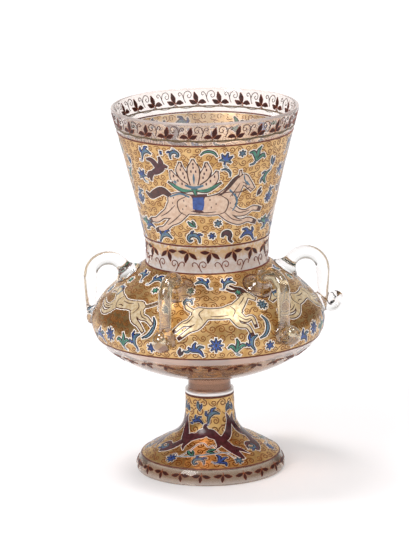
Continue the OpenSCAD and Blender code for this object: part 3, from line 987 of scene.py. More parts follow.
POTS = {
    "rust": enamel("iron_rust_enamel", "#93561F", "#683A14"),
    "white": enamel("tin_white_enamel", "#FBF5EE", "#F0E6DA"),
    "brown": enamel("iron_brown_enamel", "#552A1C", "#3A1A12"),
    "rose": enamel("rose_flesh_enamel", "#E2C8B2", "#D0AE94", 0.3, 0.5, 0.2),
    "cobalt": enamel("cobalt_blue_enamel", "#385CA6", "#263F7C"),
    "steel": enamel("copper_blue_enamel", "#5F8196", "#45657A"),
    "mist": enamel("pale_copper_enamel", "#9BA8A6", "#7C8D90"),
    "emerald": enamel("copper_green_enamel", "#4A937B", "#316F5B"),
    "plum": enamel("manganese_plum_enamel", "#582830", "#3E1A20"),
    "cream": enamel("pale_fur_enamel", "#EEDCBC", "#D2B688", 0.32, 0.5, 0.45),
    "ink": enamel("manganese_black_enamel", "#33231F", "#211513"),
    "fillet": enamel("iron_fillet_enamel", "#7C4230", "#5C2C1E", 0.4, 0.2),
    "sprig": enamel("iron_black_enamel", "#4A1D14", "#30110C", 0.4, 0.2),
    "red": enamel("iron_red_enamel", "#984E2A", "#78371B", 0.4, 0.2),
    "olive": enamel("thin_brown_enamel", "#75634A", "#594A34", 0.4, 0.2),
}
FIRED_CREASE = math.radians(40)
print(len(POTS), "pots of enamel")


def fire(zone):
    """Melts a zone's strokes on: each pot becomes one piece."""
    for pot, (points, faces) in zone.pots.items():
        name = zone.name + "_" + pot + "_enamel"
        mesh = bpy.data.meshes.new(name)
        mesh.from_pydata(np.vstack(points).tolist(), [], np.vstack(faces).tolist())
        piece = new_piece(name, mesh)
        bpy.ops.object.shade_smooth_by_angle(angle=FIRED_CREASE)
        hand_in(piece, POTS[pot], "brown_enamel")


# %% [markdown]
# ## Painted fillets
# A thin line closes every band, brown everywhere but under the rim, where it is olive. The solids of the
# lines are right as they are, so they only get their enamel.

# %% Painted fillets
FILLETS = {"rim_fillet": "olive", "neck_upper_fillet": "fillet", "neck_lower_fillet": "fillet",
           "collar_fillet": "fillet", "belly_fillet": "fillet", "foot_upper_fillet": "fillet",
           "foot_lower_fillet": "fillet"}
for node_name, pot in FILLETS.items():
    line = frame["nodes"][node_name]
    line.data.materials.clear()
    line.data.materials.append(POTS[pot])
print(len(FILLETS), "painted lines")

# %% [markdown]
# ## Sprig bands
# Four bands of clear glass carry a running sprig: three leaves in near-black enamel over a red outline. On
# the rim the sprigs stand on a thin garland with curled tendrils between them. On the collar they hang, and
# curls rise from the crease. Under the belly and round the foot's edge they hang too, turned left and right
# by turns.

# %% Sprig bands
FACING = VIEW_AZIMUTH - math.pi / 2
STANDING_SPRIG = [
    [(0.3, 0.7, 0.4), (0.7, 2.2, 1.9), (1.2, 4.0, 2.6), (1.9, 6.7, 0.3)],
    [(-0.5, 0.3, 0.4), (-1.8, 0.9, 2.0), (-3.1, 1.0, 2.5), (-4.9, 0.5, 0.3)],
    [(0.6, 0.1, 0.4), (2.0, 0.5, 1.9), (3.2, 1.0, 2.3), (4.9, 2.0, 0.3)],
]
HANGING_SPRIG = [
    [(0.3, 1.0, 0.4), (0.8, 2.6, 2.1), (1.4, 4.6, 2.7), (2.0, 7.4, 0.4)],
    [(-0.8, 0.8, 0.4), (-2.2, 1.9, 2.0), (-3.7, 3.1, 2.5), (-5.6, 4.9, 0.4)],
    [(0.9, 0.2, 0.4), (2.5, 0.3, 2.0), (4.2, 0.3, 2.4), (6.6, 0.0, 0.4)],
]
FLAT_SPRIG = [
    [(0.1, 0.6, 0.4), (0.3, 1.8, 1.6), (0.5, 3.0, 2.0), (0.8, 4.7, 0.3)],
    [(-0.6, 0.2, 0.4), (-2.2, 0.8, 1.8), (-3.8, 1.2, 2.1), (-5.9, 1.4, 0.3)],
    [(0.7, 0.1, 0.4), (2.3, 0.6, 1.8), (3.9, 0.9, 2.1), (6.0, 0.8, 0.3)],
]
SPRIG_STEM = [(0, 1.2, 0.45), (-0.2, 0, 0.45), (-0.1, -1.6, 0.45)]
RED_EDGE = 0.26


def round_lamp(count, shift):
    """Evenly spaced angles, counted from the front and shifted by a share of their distance."""
    return [FACING + math.tau * (i + shift) / count for i in range(count)]


def sprig(leaves, zone, phi, z, turn, size, flip=False):
    spot = Spot(zone, phi, z, turn, size, flip)
    brush(spot, SPRIG_STEM, "red", "outline")
    for leaf in leaves:
        brush(spot, leaf, "red", "outline", RED_EDGE)
        brush(spot, leaf, "sprig", "fill")


RIM_TENDRIL = [
    [(0.4, -4.6), (1.6, -1.8), (0.9, 1.5), (-1.4, 2.7), (-3.3, 1.3), (-3.2, -0.9), (-1.7, -1.5),
     (-0.9, -0.2), (-1.8, 0.6)],
    [(1.5, -2.4), (2.4, 0.6), (3.9, 2.0), (5.0, 1.2), (4.4, -0.1), (3.6, 0.4)],
]
CREASE_CURL = [
    [(1.8, -5.0), (0.6, -2.8), (-0.2, -0.6), (0.6, 1.8), (2.7, 2.5), (4.2, 1.1), (3.8, -0.8), (2.3, -1.1),
     (1.7, 0.3)],
    [(-0.3, -1.4), (-1.5, 1.0), (-3.4, 1.9), (-4.7, 0.7), (-4.2, -0.8)],
]
# Place along a garland's pitch, drop in millimetres
GARLAND = [(0, -0.6), (0.2, -2.6), (0.5, -3.6), (0.8, -2.6), (1, -0.6)]
GARLAND_WIDTH, TENDRIL_WIDTH, CREASE_WIDTH = 0.55, 0.42, 0.55
RIM_SPRIGS, RIM_SHIFT, RIM_SPRIG_Z, RIM_BAND_R = 24, 0.3, 287.2, 72.5
COLLAR_SPRIGS, COLLAR_SHIFT = 17, 0.15
TENDRIL_Z, TENDRIL_SIZE = 293.8, 1.3
CREASE_Z, CREASE_SIZE = 179.6, 1.25
# Zone, leaves, count, shift, height, turn, size
SPRIG_BANDS = [
    (rim_zone, STANDING_SPRIG, RIM_SPRIGS, RIM_SHIFT, RIM_SPRIG_Z, 0, 1.38),
    (collar_zone, HANGING_SPRIG, COLLAR_SPRIGS, COLLAR_SHIFT, 190.6, 180, 1.22),
    (belly_zone, HANGING_SPRIG, 28, 0.1, 105.0, 180, 1.1),
    (edge_zone, FLAT_SPRIG, 21, 0.55, 8.8, 180, 1.25),
]

# %% Painting the sprig bands
for zone, leaves, count, shift, z, turn, size in SPRIG_BANDS:
    for i, phi in enumerate(round_lamp(count, shift)):
        sprig(leaves, zone, phi, z, turn, size, flip=turn > 0 and i % 2 == 1)

garland_pitch = math.tau / RIM_SPRIGS * RIM_BAND_R
for phi in round_lamp(RIM_SPRIGS, RIM_SHIFT):
    garland = [(share * garland_pitch, y, GARLAND_WIDTH) for share, y in GARLAND]
    brush(Spot(rim_zone, phi, RIM_SPRIG_Z), garland, "olive", "outline")
    tendril = Spot(rim_zone, phi + math.pi / RIM_SPRIGS, TENDRIL_Z, size=TENDRIL_SIZE)
    for curl in RIM_TENDRIL:
        brush(tendril, [(x, y, TENDRIL_WIDTH) for x, y in curl], "brown", "outline")

for i, phi in enumerate(round_lamp(COLLAR_SPRIGS, COLLAR_SHIFT)):
    middle = phi + math.pi / COLLAR_SPRIGS
    curls = Spot(collar_zone, middle, CREASE_Z, size=CREASE_SIZE, flip=i % 2 == 1)
    for curl in CREASE_CURL:
        brush(curls, [(x, y, CREASE_WIDTH) for x, y in curl], "fillet", "outline")

for zone in (rim_zone, collar_zone, belly_zone, edge_zone):
    fire(zone)

# %% [markdown]
# ## Scrollwork on the gold
# The whole gold ground is scribbled over with small curls in thin rust enamel, so close that the eye reads
# them as a texture. They are drawn first and the figures cover them. There are many hundreds of them, so
# each has only a few dozen faces, and a seeded die turns each a little.

# %% Scrollwork on the gold
CURL_PITCH, CURL_ROW = 6.8, 6.2
SCROLL_R, SCROLL_TURNS, WIND_IN = 2.6, 1.3, 0.78
SCROLL_KNOTS = 11
die = random.Random(7)


def scroll_curl(width):
    """A short stem that runs into a curl and winds inwards."""
    line = [(-4.4, -0.6, 0.3), (-2.6, -2.1, width)]
    for t in np.linspace(0, 1, SCROLL_KNOTS):
        r, turn = SCROLL_R * (1 - WIND_IN * t), math.tau * SCROLL_TURNS * t - math.pi / 2
        line.append((r * math.cos(turn), r * math.sin(turn), width))
    return line


def scrollwork(zone, width, size):
    drawn = 0
    rows = max(1, round((zone.high - zone.low - 1) / (CURL_ROW * size)))
    for row in range(rows):
        s = zone.low + (zone.high - zone.low) * (row + 0.5) / rows
        count = max(6, round(math.tau * zone.skin.radius(s) / (CURL_PITCH * size)))
        for j in range(count):
            over = (j + row) % 2
            phi = math.tau * (j + 0.5 * (row % 2) + die.uniform(-0.12, 0.12)) / count
            turn = 180 * over + die.uniform(-35, 35)
            grown = size * die.uniform(0.85, 1.15)
            spot = Spot(zone, phi, zone.skin.height(s), turn, grown, flip=over == 1)
            lay_ribbon(zone, spot.wrap(scroll_curl(width)), "rust", "scroll")
        drawn += count
    print(zone.name, drawn, "curls")


scrollwork(neck_zone, 0.75, 1.0)
scrollwork(shoulder_zone, 0.75, 1.1)
scrollwork(foot_zone, 0.9, 1.15)

# %% [markdown]
# ## Leaves and beasts
# The friezes are filled with the stock of the eastern pattern books: split leaves, vine leaves, stars,
# crescents and buds, and running beasts. Each motif is a handful of brush strokes. Overlapping strokes of
# one colour run together in the kiln, so a body is drawn as a torso, a neck and legs, and one outline goes
# round them all.

# %% Leaves
def rays(count, inner, outer, width, start=90.0):
    out = []
    for i in range(count):
        a = math.radians(start + 360 * i / count)
        c, s = math.cos(a), math.sin(a)
        mid = (inner + outer) / 2
        out.append([(inner * c, inner * s, width * 0.8), (mid * c, mid * s, width),
                    (outer * c, outer * s, 0.2)])
    return out


def dot(x, y, d):
    return [(x - d / 4, y, d * 0.8), (x, y, d), (x + d / 4, y, d * 0.8)]


# A stroke is marked a or b for the first or the second colour of a pair.
LEAVES = {
    "wave": [("a", [(-6.4, -3.6, 0.4), (-3.6, -0.2, 2.2), (0, 1.5, 3.6), (3.2, 0.5, 2.8),
                    (5.8, -2.8, 0.3)]),
             ("b", [(0.6, 1.8, 1.8), (2.8, 3.8, 2.2), (6.0, 3.6, 0.3)]),
             ("b", [(-2.2, 1.0, 1.5), (-3.6, 3.4, 1.9), (-2.2, 5.6, 0.3)]),
             ("b", [(-5.6, -2.6, 0.9), (-7.8, -4.4, 0.8), (-9.8, -3.4, 0.3)])],
    "trefoil": [("a", [(-4.6, 2.2, 0.4), (-2.2, 0.4, 2.8), (1.2, 0.4, 3.4), (4.2, -1.2, 2.2),
                       (6.2, -4.8, 0.3)]),
                ("a", [(-0.6, 1.0, 2.0), (-0.4, 3.6, 2.2), (0.8, 5.8, 0.3)]),
                ("b", [(1.8, 1.0, 1.6), (3.8, 2.8, 1.9), (6.6, 2.6, 0.3)]),
                ("b", [(-3.0, 0.6, 1.2), (-5.6, -1.2, 1.4), (-8.2, -0.6, 0.3)])],
    "vine": [("a", [(0, -4.5, 0.5), (0, -1, 1.6), (0, 2.5, 3.2), (0, 5.8, 0.3)]),
             ("a", [(0, -1, 1.4), (2.4, 1.4, 2.8), (4.8, 3.8, 0.3)]),
             ("a", [(0, -1, 1.4), (-2.4, 1.4, 2.8), (-4.8, 3.8, 0.3)]),
             ("b", [(0, -1.2, 1.2), (2.6, -0.8, 2.0), (5.0, -1.8, 0.3)]),
             ("b", [(0, -1.2, 1.2), (-2.6, -0.8, 2.0), (-5.0, -1.8, 0.3)]),
             ("b", [(0, -4.0, 0.8), (1.0, -6.2, 0.8), (3.2, -7.2, 0.3)])],
    "star": [("a", r) for r in rays(8, 0.0, 4.8, 2.0)] + [("dot", dot(0, 0, 2.4))],
    "small_star": [("a", r) for r in rays(6, 0.0, 3.6, 1.7)],
    "comma": [("a", [(-3.4, 0.4, 0.8), (-2.4, 2.6, 2.8), (0.2, 3.2, 3.6), (2.2, 1.0, 2.8), (2.0, -2.2, 1.5),
                     (4.0, -4.4, 0.3)])],
    "sickle": [("a", [(-2.6, 10, 0.3), (1.4, 6.4, 1.9), (3.0, 0.5, 2.6), (1.4, -5.6, 2.0),
                      (-2.8, -9.6, 0.3)])],
    "crest": [("a", [(5.4, -3.4, 0.4), (5.0, 0.6, 2.0), (2.2, 3.4, 3.2), (-1.8, 3.2, 3.2), (-4.0, 0.4, 2.4),
                     (-2.8, -2.2, 1.4), (-0.8, -1.4, 0.4)]),
              ("b", [(3.6, 2.4, 1.2), (5.6, 4.2, 1.8), (7.8, 3.6, 0.3)]),
              ("b", [(-0.4, 3.4, 1.2), (-1.0, 5.8, 1.4), (0.6, 7.2, 0.3)])],
    "ring": [("b", dot(0, 0, 3.0))],
    "twin": [("a", [(0, -4.6, 0.8), (-1.8, -0.6, 2.6), (-4.4, 2.0, 2.6), (-7.2, 1.6, 0.3)]),
             ("a", [(0.2, -4.2, 0.8), (0.2, 0, 2.8), (0, 3.4, 2.6), (1.6, 6.4, 0.3)]),
             ("a", [(0.6, -4.2, 0.8), (3.0, -1.2, 2.6), (5.4, 0, 2.4), (7.6, -1.8, 0.3)]),
             ("b", [(0, -4.0, 1.2), (-1.4, -6.6, 1.1), (-4.2, -7.6, 0.3)])],
    "bud": [("a", [(0, -4, 0.5), (-0.6, -1, 2.0), (0, 1.4, 2.8), (0.8, 4.2, 0.3)]),
            ("b", [(0, -3, 0.8), (2.2, -1.4, 1.6), (3.6, 1.0, 0.3)])],
}
print(len(LEAVES), "kinds of leaves")

# %% Beasts
HORSE = {
    "rose": [
        [(-33, 6, 6), (-28, 5.5, 15), (-21, 4.5, 18.5), (-10, 3.2, 16.2), (2, 2.6, 16.5), (12, 4, 18.5),
         (19, 6.4, 16), (24, 8.5, 8)],
        [(17, 8, 17), (23, 15, 13), (28, 21.6, 9.6), (30.4, 25.4, 8)],
        [(28.6, 25.2, 6.5), (32.4, 24.8, 8.4), (36.4, 20.6, 6.2), (39.6, 16.6, 4.8), (41.2, 14.4, 4.0)],
        [(29.6, 28, 2.6), (29.8, 33, 0.5)],
        [(18, 1, 10), (26, -5, 6.4), (34, -6.2, 4.2), (41, -3.6, 3.2), (47, -4.6, 3.0)],
        [(13, -2, 9), (20, -10, 6), (28, -14.2, 4.0), (36, -13.2, 3.2), (41.6, -15.2, 2.8)],
        [(-25, 3, 16), (-32, -5, 10), (-39, -8.6, 5), (-45.6, -13.4, 3.8), (-52, -14.6, 3.0)],
        [(-20, 0, 14), (-25.6, -9.6, 8.6), (-31.6, -14.6, 4.8), (-37.6, -20.4, 3.6), (-44, -22.2, 2.8)],
    ],
    "dark": [
        [(31, 29, 1.6), (25, 25, 3.4), (19.6, 18.6, 3.6), (13, 12.6, 2.4), (9.6, 11.6, 0.4)],
        [(-31.6, 11, 3.2), (-38.6, 14.6, 5.2), (-45.6, 11.4, 5.4), (-51.6, 8.0, 3.8), (-57, 10.4, 0.5)],
        [(46.6, -4.6, 3.2), (50.4, -5.8, 2.2)],
        [(41.2, -15.2, 3.0), (44.8, -16.8, 2.0)],
        [(-51.6, -14.6, 3.2), (-55.2, -16.2, 2.2)],
        [(-43.6, -22.2, 3.0), (-47.2, -23.6, 2.0)],
    ],
    "plum_cloth": [[(-7, 12.4, 13.5), (-6.6, 5, 14.5), (-7, -3.6, 13)]],
    "blue_cloth": [[(-7, 10.4, 9), (-6.6, 5, 9.8), (-7, -1.2, 8.6)]],
    "steel": [
        [(19.6, 16.6, 1.5), (25.4, 9, 1.7), (25.6, 3, 1.5), (22, -3.4, 0.9)],
        [(-14, 10.4, 1.5), (-22, 13.2, 1.6), (-31.6, 9.8, 1.3)],
        [(33, 28.4, 1.1), (33.6, 24, 1.2), (36.4, 19.0, 1.2)],
        [(35.2, 22.6, 1.1), (38.2, 18.4, 1.1)],
    ],
    "lines": [
        [(38.8, 16.8, 0.9), (30, 13.4, 0.9), (18, 14.2, 0.9), (2, 11.4, 0.9)],
        [(-17, 11, 0.6), (-24.4, 6, 0.95), (-23, -3, 0.95), (-17, -6.6, 0.6)],
        [(12, 12, 0.6), (18.4, 6, 0.95), (16, -3, 0.95), (11, -5.6, 0.6)],
        [(-13, -2.6, 0.5), (-2, -3.8, 0.85), (8, -3.2, 0.5)],
        [(20, 10, 0.5), (25, 16, 0.85), (29, 21.4, 0.5)],
        [(-27, 2, 0.5), (-34, -5.2, 0.85), (-41, -9.6, 0.5)],
        [(-20.4, -4, 0.5), (-27, -11, 0.85), (-34, -16.8, 0.5)],
        [(20, 0, 0.5), (28, -5.4, 0.85), (38, -4.8, 0.5)],
        [(15, -4, 0.5), (22, -11, 0.85), (31, -13.8, 0.5)],
        [(31.4, 22.4, 0.5), (34.4, 20.6, 0.8), (34.6, 17.6, 0.5)],
        [(41.6, 14.0, 0.6), (38.8, 15.8, 0.6)],
        dot(33.4, 25.4, 1.8),
    ],
    "dots": [dot(x, y, 1.7) for x, y in
             ((-28, 9), (-29, 4), (-19, 7), (-17, 2), (-20, -1), (-30, -1), (3, 8), (8, 4), (4, 1),
              (22, 11), (25, 12), (20, 4))],
}

GAZELLE = {
    "cream": [
        [(-23, 3, 5), (-18, 3, 11.5), (-8, 3, 9.4), (3, 3.2, 10.2), (11, 5, 12), (17, 7.4, 8)],
        [(14, 7, 10), (19.4, 13.2, 7), (23.0, 18.6, 5.4)],
        [(22.0, 19.4, 5.0), (25.6, 19.2, 5.4), (29.6, 16.4, 3.6), (32.4, 14.4, 2.6)],
        [(21.6, 19.6, 2.2), (17.0, 20.0, 0.5)],
        [(14, 2, 7.4), (21, -4.4, 4.4), (27, -3.0, 2.8), (29.6, -9.4, 2.0)],
        [(10.6, 0, 6.6), (15.4, -8.2, 4.0), (22, -10.4, 2.6), (25.6, -16, 1.8)],
        [(-18, 2, 10.6), (-25, -4.6, 6.4), (-31.4, -6.8, 3.4), (-38.4, -12.4, 2.2)],
        [(-14.6, 0, 9.4), (-19.8, -8.2, 5.4), (-26.6, -12.0, 3.0), (-33.8, -17.4, 2.0)],
        [(-22.4, 5.6, 2.4), (-26.6, 8.6, 2.6), (-27.6, 12, 0.5)],
    ],
    "dark": [
        [(23.0, 21.4, 1.6), (18.6, 24.6, 1.6), (13.0, 25.2, 1.3), (8.6, 27.6, 0.5)],
        [(24.6, 22.0, 1.6), (20.6, 26.6, 1.5), (15.4, 28.4, 1.2), (11.6, 31.0, 0.5)],
        [(29.4, -9, 2.0), (30.2, -11.6, 1.4)],
        [(25.4, -15.6, 2.0), (26.6, -18, 1.4)],
        [(-38, -12.2, 2.2), (-40.8, -14.2, 1.4)],
        [(-33.4, -17.2, 2.2), (-36.2, -19.4, 1.4)],
    ],
    "lines": [
        [(9, 10, 0.5), (13, 5, 0.95), (10.6, -1, 0.5)],
        [(-13, 7.6, 0.5), (-17.4, 3, 0.95), (-15, -3, 0.5)],
        [(-8, 0.4, 0.4), (0, 0.2, 0.9), (7, 1, 0.4)],
        [(-22, 1, 0.5), (-27, -4.6, 0.9), (-32, -6.8, 0.4)],
        [(15, 0, 0.5), (21, -4.2, 0.9), (26, -3.6, 0.4)],
        [(16.6, 9.6, 0.4), (20.4, 14.4, 0.9), (22.6, 18, 0.4)],
        dot(26.2, 19.6, 1.2),
    ],
}

HOUND = {
    "cream": [
        [(-22, 3.4, 5), (-16, 4.4, 11), (-6, 4.6, 8.2), (4, 3.8, 9.2), (13, 5, 12.4), (18, 7, 8)],
        [(14.6, 7, 9), (20.6, 11, 6.8), (24.6, 13.4, 5.6)],
        [(23.4, 13.8, 5.4), (27.8, 13.8, 5.4), (33, 11.2, 3.4), (36, 9.8, 2.4)],
        [(16, 2, 7), (24, -3.2, 3.8), (32, -3.6, 2.6), (39.4, -1.4, 2.0)],
        [(12.6, 0, 6.4), (19.6, -7.2, 3.6), (27.6, -9.4, 2.4), (34.4, -8, 1.8)],
        [(-17, 3, 10), (-24, -3.6, 5.4), (-31, -5.2, 3.0), (-38.4, -9.6, 2.0)],
        [(-13.6, 1, 8.6), (-18.8, -7.4, 4.8), (-25.6, -11.0, 2.8), (-32.6, -16.4, 1.8)],
        [(-21.6, 5.6, 2.0), (-28.4, 9.6, 1.8), (-33.4, 15.4, 1.7), (-30.4, 19.6, 0.5)],
    ],
    "dark": [[(25.4, 15.8, 2.4), (21.8, 16.4, 2.8), (19.4, 14.0, 0.6)]],
    "steel": [[(19.4, 14.2, 1.7), (22.4, 8.6, 1.7)]],
    "lines": [
        [(10, 10.4, 0.5), (14, 5, 0.95), (11.6, -1, 0.5)],
        [(-11.4, 8.4, 0.5), (-16, 4, 0.95), (-14, -2.4, 0.5)],
        [(2, 1.6, 0.4), (6, 2.4, 0.9), (9, 1.4, 0.4)],
        [(34.8, 9.4, 0.5), (31.2, 10.6, 0.5)],
        [(-20, 1, 0.5), (-25, -3.8, 0.9), (-31, -5.4, 0.4)],
        [(17, 0, 0.5), (24, -3.2, 0.9), (31, -3.6, 0.4)],
        [(-8, 6.4, 0.4), (-1, 5.6, 0.9), (6, 6.4, 0.4)],
        dot(28.2, 14.4, 1.2),
    ],
}

BIRD = {
    "plum": [
        [(-6, -3.6, 1.0), (-2, -2, 3.4), (2.6, 0.4, 3.4), (5.4, 2.8, 2.4), (7.8, 2.4, 0.5)],
        [(0.6, 0, 2.6), (-1.6, 4, 3.2), (-4.6, 6.6, 2.4), (-8.0, 6.6, 0.4)],
        [(1.8, 1, 2.2), (3.6, 5.4, 2.8), (3.0, 9.2, 0.4)],
        [(-4.6, -3, 1.6), (-8.0, -4.6, 2.4), (-10.4, -7.2, 0.6)],
        [(-4.6, -3, 1.6), (-7.0, -6.0, 2.0), (-7.4, -9.0, 0.6)],
    ],
}

# %% Lotus
def both_sides(stroke):
    return [stroke, [(-x, y, width) for x, y, width in stroke]]


LOTUS_DOT = 2.3
PETAL_DOTS = [(1.9, 15), (7.4, 9.6), (8.4, 13), (10.4, 16.4), (9.6, 19.4), (9.6, 4), (13, 6.6),
              (16.4, 10.4)]
LOTUS = {
    "rose": [
        [(0, 0, 4), (0, 8, 8.4), (0, 17, 9), (0, 25, 0.8)],
        *both_sides([(-1.5, 0.5, 4), (-7, 8, 7), (-10.4, 15, 7), (-10.6, 22.4, 0.8)]),
        *both_sides([(-2.5, 0, 3.6), (-10.4, 3.4, 6.4), (-16, 8.4, 6), (-18.6, 14.6, 0.8)]),
    ],
    "sepals": [
        *both_sides([(-1.5, -1.2, 1.5), (-9, -1.6, 3.0), (-15, 1.2, 2.4), (-21, 4.6, 0.4)]),
        [(0, -0.6, 2.6), (0.4, -3.4, 2.0), (1.2, -6.4, 1.6)],
    ],
    "lines": [
        *both_sides([(-3.0, 3, 0.95), (-4.6, 10, 1.0), (-4.8, 18, 0.9), (-3.6, 22, 0.5)]),
        *both_sides([(-4.6, 3.4, 0.95), (-11, 8.2, 1.0), (-14, 14.4, 0.6)]),
    ],
    "steel": [[(-7.4, 2.8, 1.6), (0, 0.8, 2.6), (7.4, 2.8, 1.6)], [(0, 4, 0.5), (0, 9, 1.8), (0, 13, 0.5)]],
    "dots": [dot(x, y, LOTUS_DOT) for x, y in [(0, 18.4), (0, 21.6)]
             + [(side * x, y) for side in (-1, 1) for x, y in PETAL_DOTS]],
}

# %% [markdown]
# ## Painting motifs
# A painter fills a leaf with a pale wash first and lays the full colour in its middle, so each pair of
# colours has its washes. A figure gets its flat colours inside one outline, and cloth, lines and dots go on
# top.

# %% Painting motifs
PAIRS = {"blue": ("cobalt", "steel"), "sky": ("steel", "cobalt"), "green": ("emerald", "steel"),
         "plum": ("plum", "plum"), "teal": ("emerald", "emerald"), "deep": ("cobalt", "cobalt")}
WASH = {"cobalt": "steel", "steel": "mist", "emerald": "mist", "plum": "plum"}
CORE_SHARE = 0.6
FIGURE_POTS = {"rose": "rose", "cream": "cream", "sepals": "emerald", "dark": "brown", "plum": "plum",
               "plum_cloth": "plum"}
TRIM_POTS = {"blue_cloth": "cobalt", "steel": "steel", "lines": "brown", "dots": "plum"}


def paint_leaf(spot, motif, pair, edge):
    first, second = PAIRS[pair]
    strokes = [({"a": first, "b": second}[key], knots) for key, knots in LEAVES[motif] if key != "dot"]
    brush_edged(spot, [(WASH[pot], knots) for pot, knots in strokes], edge, "ink")
    for pot, knots in strokes:
        brush(spot, [(x, y, CORE_SHARE * w) for x, y, w in knots], pot, "detail")
    for key, knots in LEAVES[motif]:
        if key == "dot":
            brush(spot, knots, "ink", "dot")


def paint_figure(spot, figure):
    strokes = [(FIGURE_POTS[key], knots) for key in figure if key in FIGURE_POTS for knots in figure[key]]
    brush_edged(spot, strokes, FIGURE_EDGE, "brown")
    for key in figure:
        if key in TRIM_POTS:
            for knots in figure[key]:
                brush(spot, knots, TRIM_POTS[key], "detail")


LEAF_SIZE = 0.94


def paint_panel(zone, phi, leaves, edge=LEAF_EDGE):
    """Paints leaves: millimetres round the lamp from phi, height, motif, pair, turn, size, flip."""
    for x, z, motif, pair, turn, size, flip in leaves:
        r = zone.skin.radius(zone.skin.along(z))
        paint_leaf(Spot(zone, phi + x / r, z, turn, LEAF_SIZE * size, flip), motif, pair, edge)


# %% [markdown]
# ## Neck frieze
# Three saddled horses gallop round the neck, a third of a turn apart, each with a lotus over its saddle and
# a bird behind it. Leaves and stars fill the gaps.

# %% Neck frieze
NECK_PANELS, NECK_R = 3, 66.0
# Figure, millimetres round the neck, height, size
NECK_FIGURES = [(HORSE, 0, 228.0, 0.95), (LOTUS, -10, 245.0, 1.0), (BIRD, -41, 259.5, 1.15)]
NECK_LEAVES = [
    (-53, 272, "wave", "sky", 25, 1.05, False), (-37, 274, "ring", "sky", 0, 1.0, False),
    (-25, 273, "crest", "sky", 10, 0.8, True), (3, 274.5, "sickle", "teal", 84, 0.7, False),
    (16, 269, "vine", "blue", -15, 1.0, False), (44, 270, "twin", "green", -8, 1.2, False),
    (30, 273, "small_star", "sky", 0, 0.8, False), (61, 262, "bud", "sky", 30, 1.0, False),
    (-58, 252, "vine", "blue", 20, 0.95, False), (17, 258.5, "sickle", "sky", 50, 0.5, False),
    (53, 250, "wave", "green", 75, 0.95, True), (-25, 250, "small_star", "sky", 10, 0.7, False),
    (58, 231, "star", "blue", 10, 0.95, False), (46, 238, "bud", "plum", -20, 0.8, False),
    (-61, 234, "crest", "sky", 90, 0.8, False), (9, 215, "small_star", "sky", 10, 0.8, False),
    (-36, 202.5, "wave", "sky", 15, 1.1, False), (-11, 202, "crest", "sky", 0, 1.0, False),
    (4, 204.5, "small_star", "deep", 20, 0.75, False), (16, 203, "comma", "plum", 0, 1.2, False),
    (35, 203, "wave", "deep", -10, 1.15, True), (53, 211, "trefoil", "green", -20, 0.9, False),
    (-54, 209, "trefoil", "blue", 30, 0.9, False), (-12, 214, "bud", "teal", 60, 0.9, False),
]

for phi in round_lamp(NECK_PANELS, 0):
    paint_panel(neck_zone, phi, NECK_LEAVES)
    for figure, x, z, size in NECK_FIGURES:
        paint_figure(Spot(neck_zone, phi + x / NECK_R, z, size=size), figure)
fire(neck_zone)

# %% [markdown]
# ## Shoulder frieze
# The handles part the shoulder into six panels. A beast runs through each, gazelle and hound by turns, over
# a row of leaves and stars. A brown ring on the gold round the gob of each handle is painted shade.

# %% Shoulder frieze
SHOULDER_PANELS, FIRST_PANEL = 6, 270
BEAST_Z, BEAST_SIZE, BEAST_TURN = 146.0, 0.95, -0.045
GOB_SHADE_R, GOB_SHADE_WIDTH = 12.4, 1.1
SHOULDER_LEAVES = [
    (-13, 167, "wave", "sky", -20, 0.95, True), (7, 166.5, "wave", "sky", 20, 0.95, False),
    (-24, 162, "small_star", "teal", 0, 0.8, False), (14, 160.5, "small_star", "teal", 0, 0.8, False),
    (33, 151, "star", "sky", 0, 0.9, False), (32, 136, "sickle", "sky", -18, 1.0, False),
    (-38, 119.5, "bud", "plum", 0, 0.8, False), (-26, 121.5, "trefoil", "blue", 0, 1.15, False),
    (-9, 125.5, "star", "blue", 0, 1.2, False), (8, 123.5, "twin", "green", -10, 1.0, True),
    (21, 126.5, "wave", "sky", 75, 1.0, False), (36, 121.5, "small_star", "deep", 0, 1.0, False),
    (-28, 155, "crest", "sky", 15, 0.7, False),
]

# Painted shade: a brown ring on the gold round each gob, where the gob shades the gold.
gob_shade_ring = [(x, y, GOB_SHADE_WIDTH) for x, y in arc_points((0, 0), GOB_SHADE_R, 0, math.tau, 25)]
for phi in handle_angles:
    brush(Spot(shoulder_zone, phi, neck_z - GOB_DROP), gob_shade_ring, "brown", "scroll")

for i in range(SHOULDER_PANELS):
    phi = math.radians(FIRST_PANEL + 360 * i / SHOULDER_PANELS)
    paint_panel(shoulder_zone, phi, SHOULDER_LEAVES)
    spot = Spot(shoulder_zone, phi + BEAST_TURN, BEAST_Z, size=BEAST_SIZE, flip=i % 2 == 1)
    paint_figure(spot, HOUND if i % 2 else GAZELLE)
fire(shoulder_zone)

# %% [markdown]
# ## Foot frieze
# A plum branch runs round the foot in three swags with twigs that reach up the stem, and leaves lie above
# and below it. On the flare the radius changes fast, so the branch is drawn by angle and height, not in
# flat millimetres.

# %% Foot frieze
FOOT_SWAGS, SWAG_TURN, SPRAY_TURN = 3, math.radians(-9), math.radians(5)
BRANCH_WIDTH, BRANCH_HALO = 0.86, 0.5
CLOUD_WIDTH, CLOUD_HALO = 0.6, 0.55
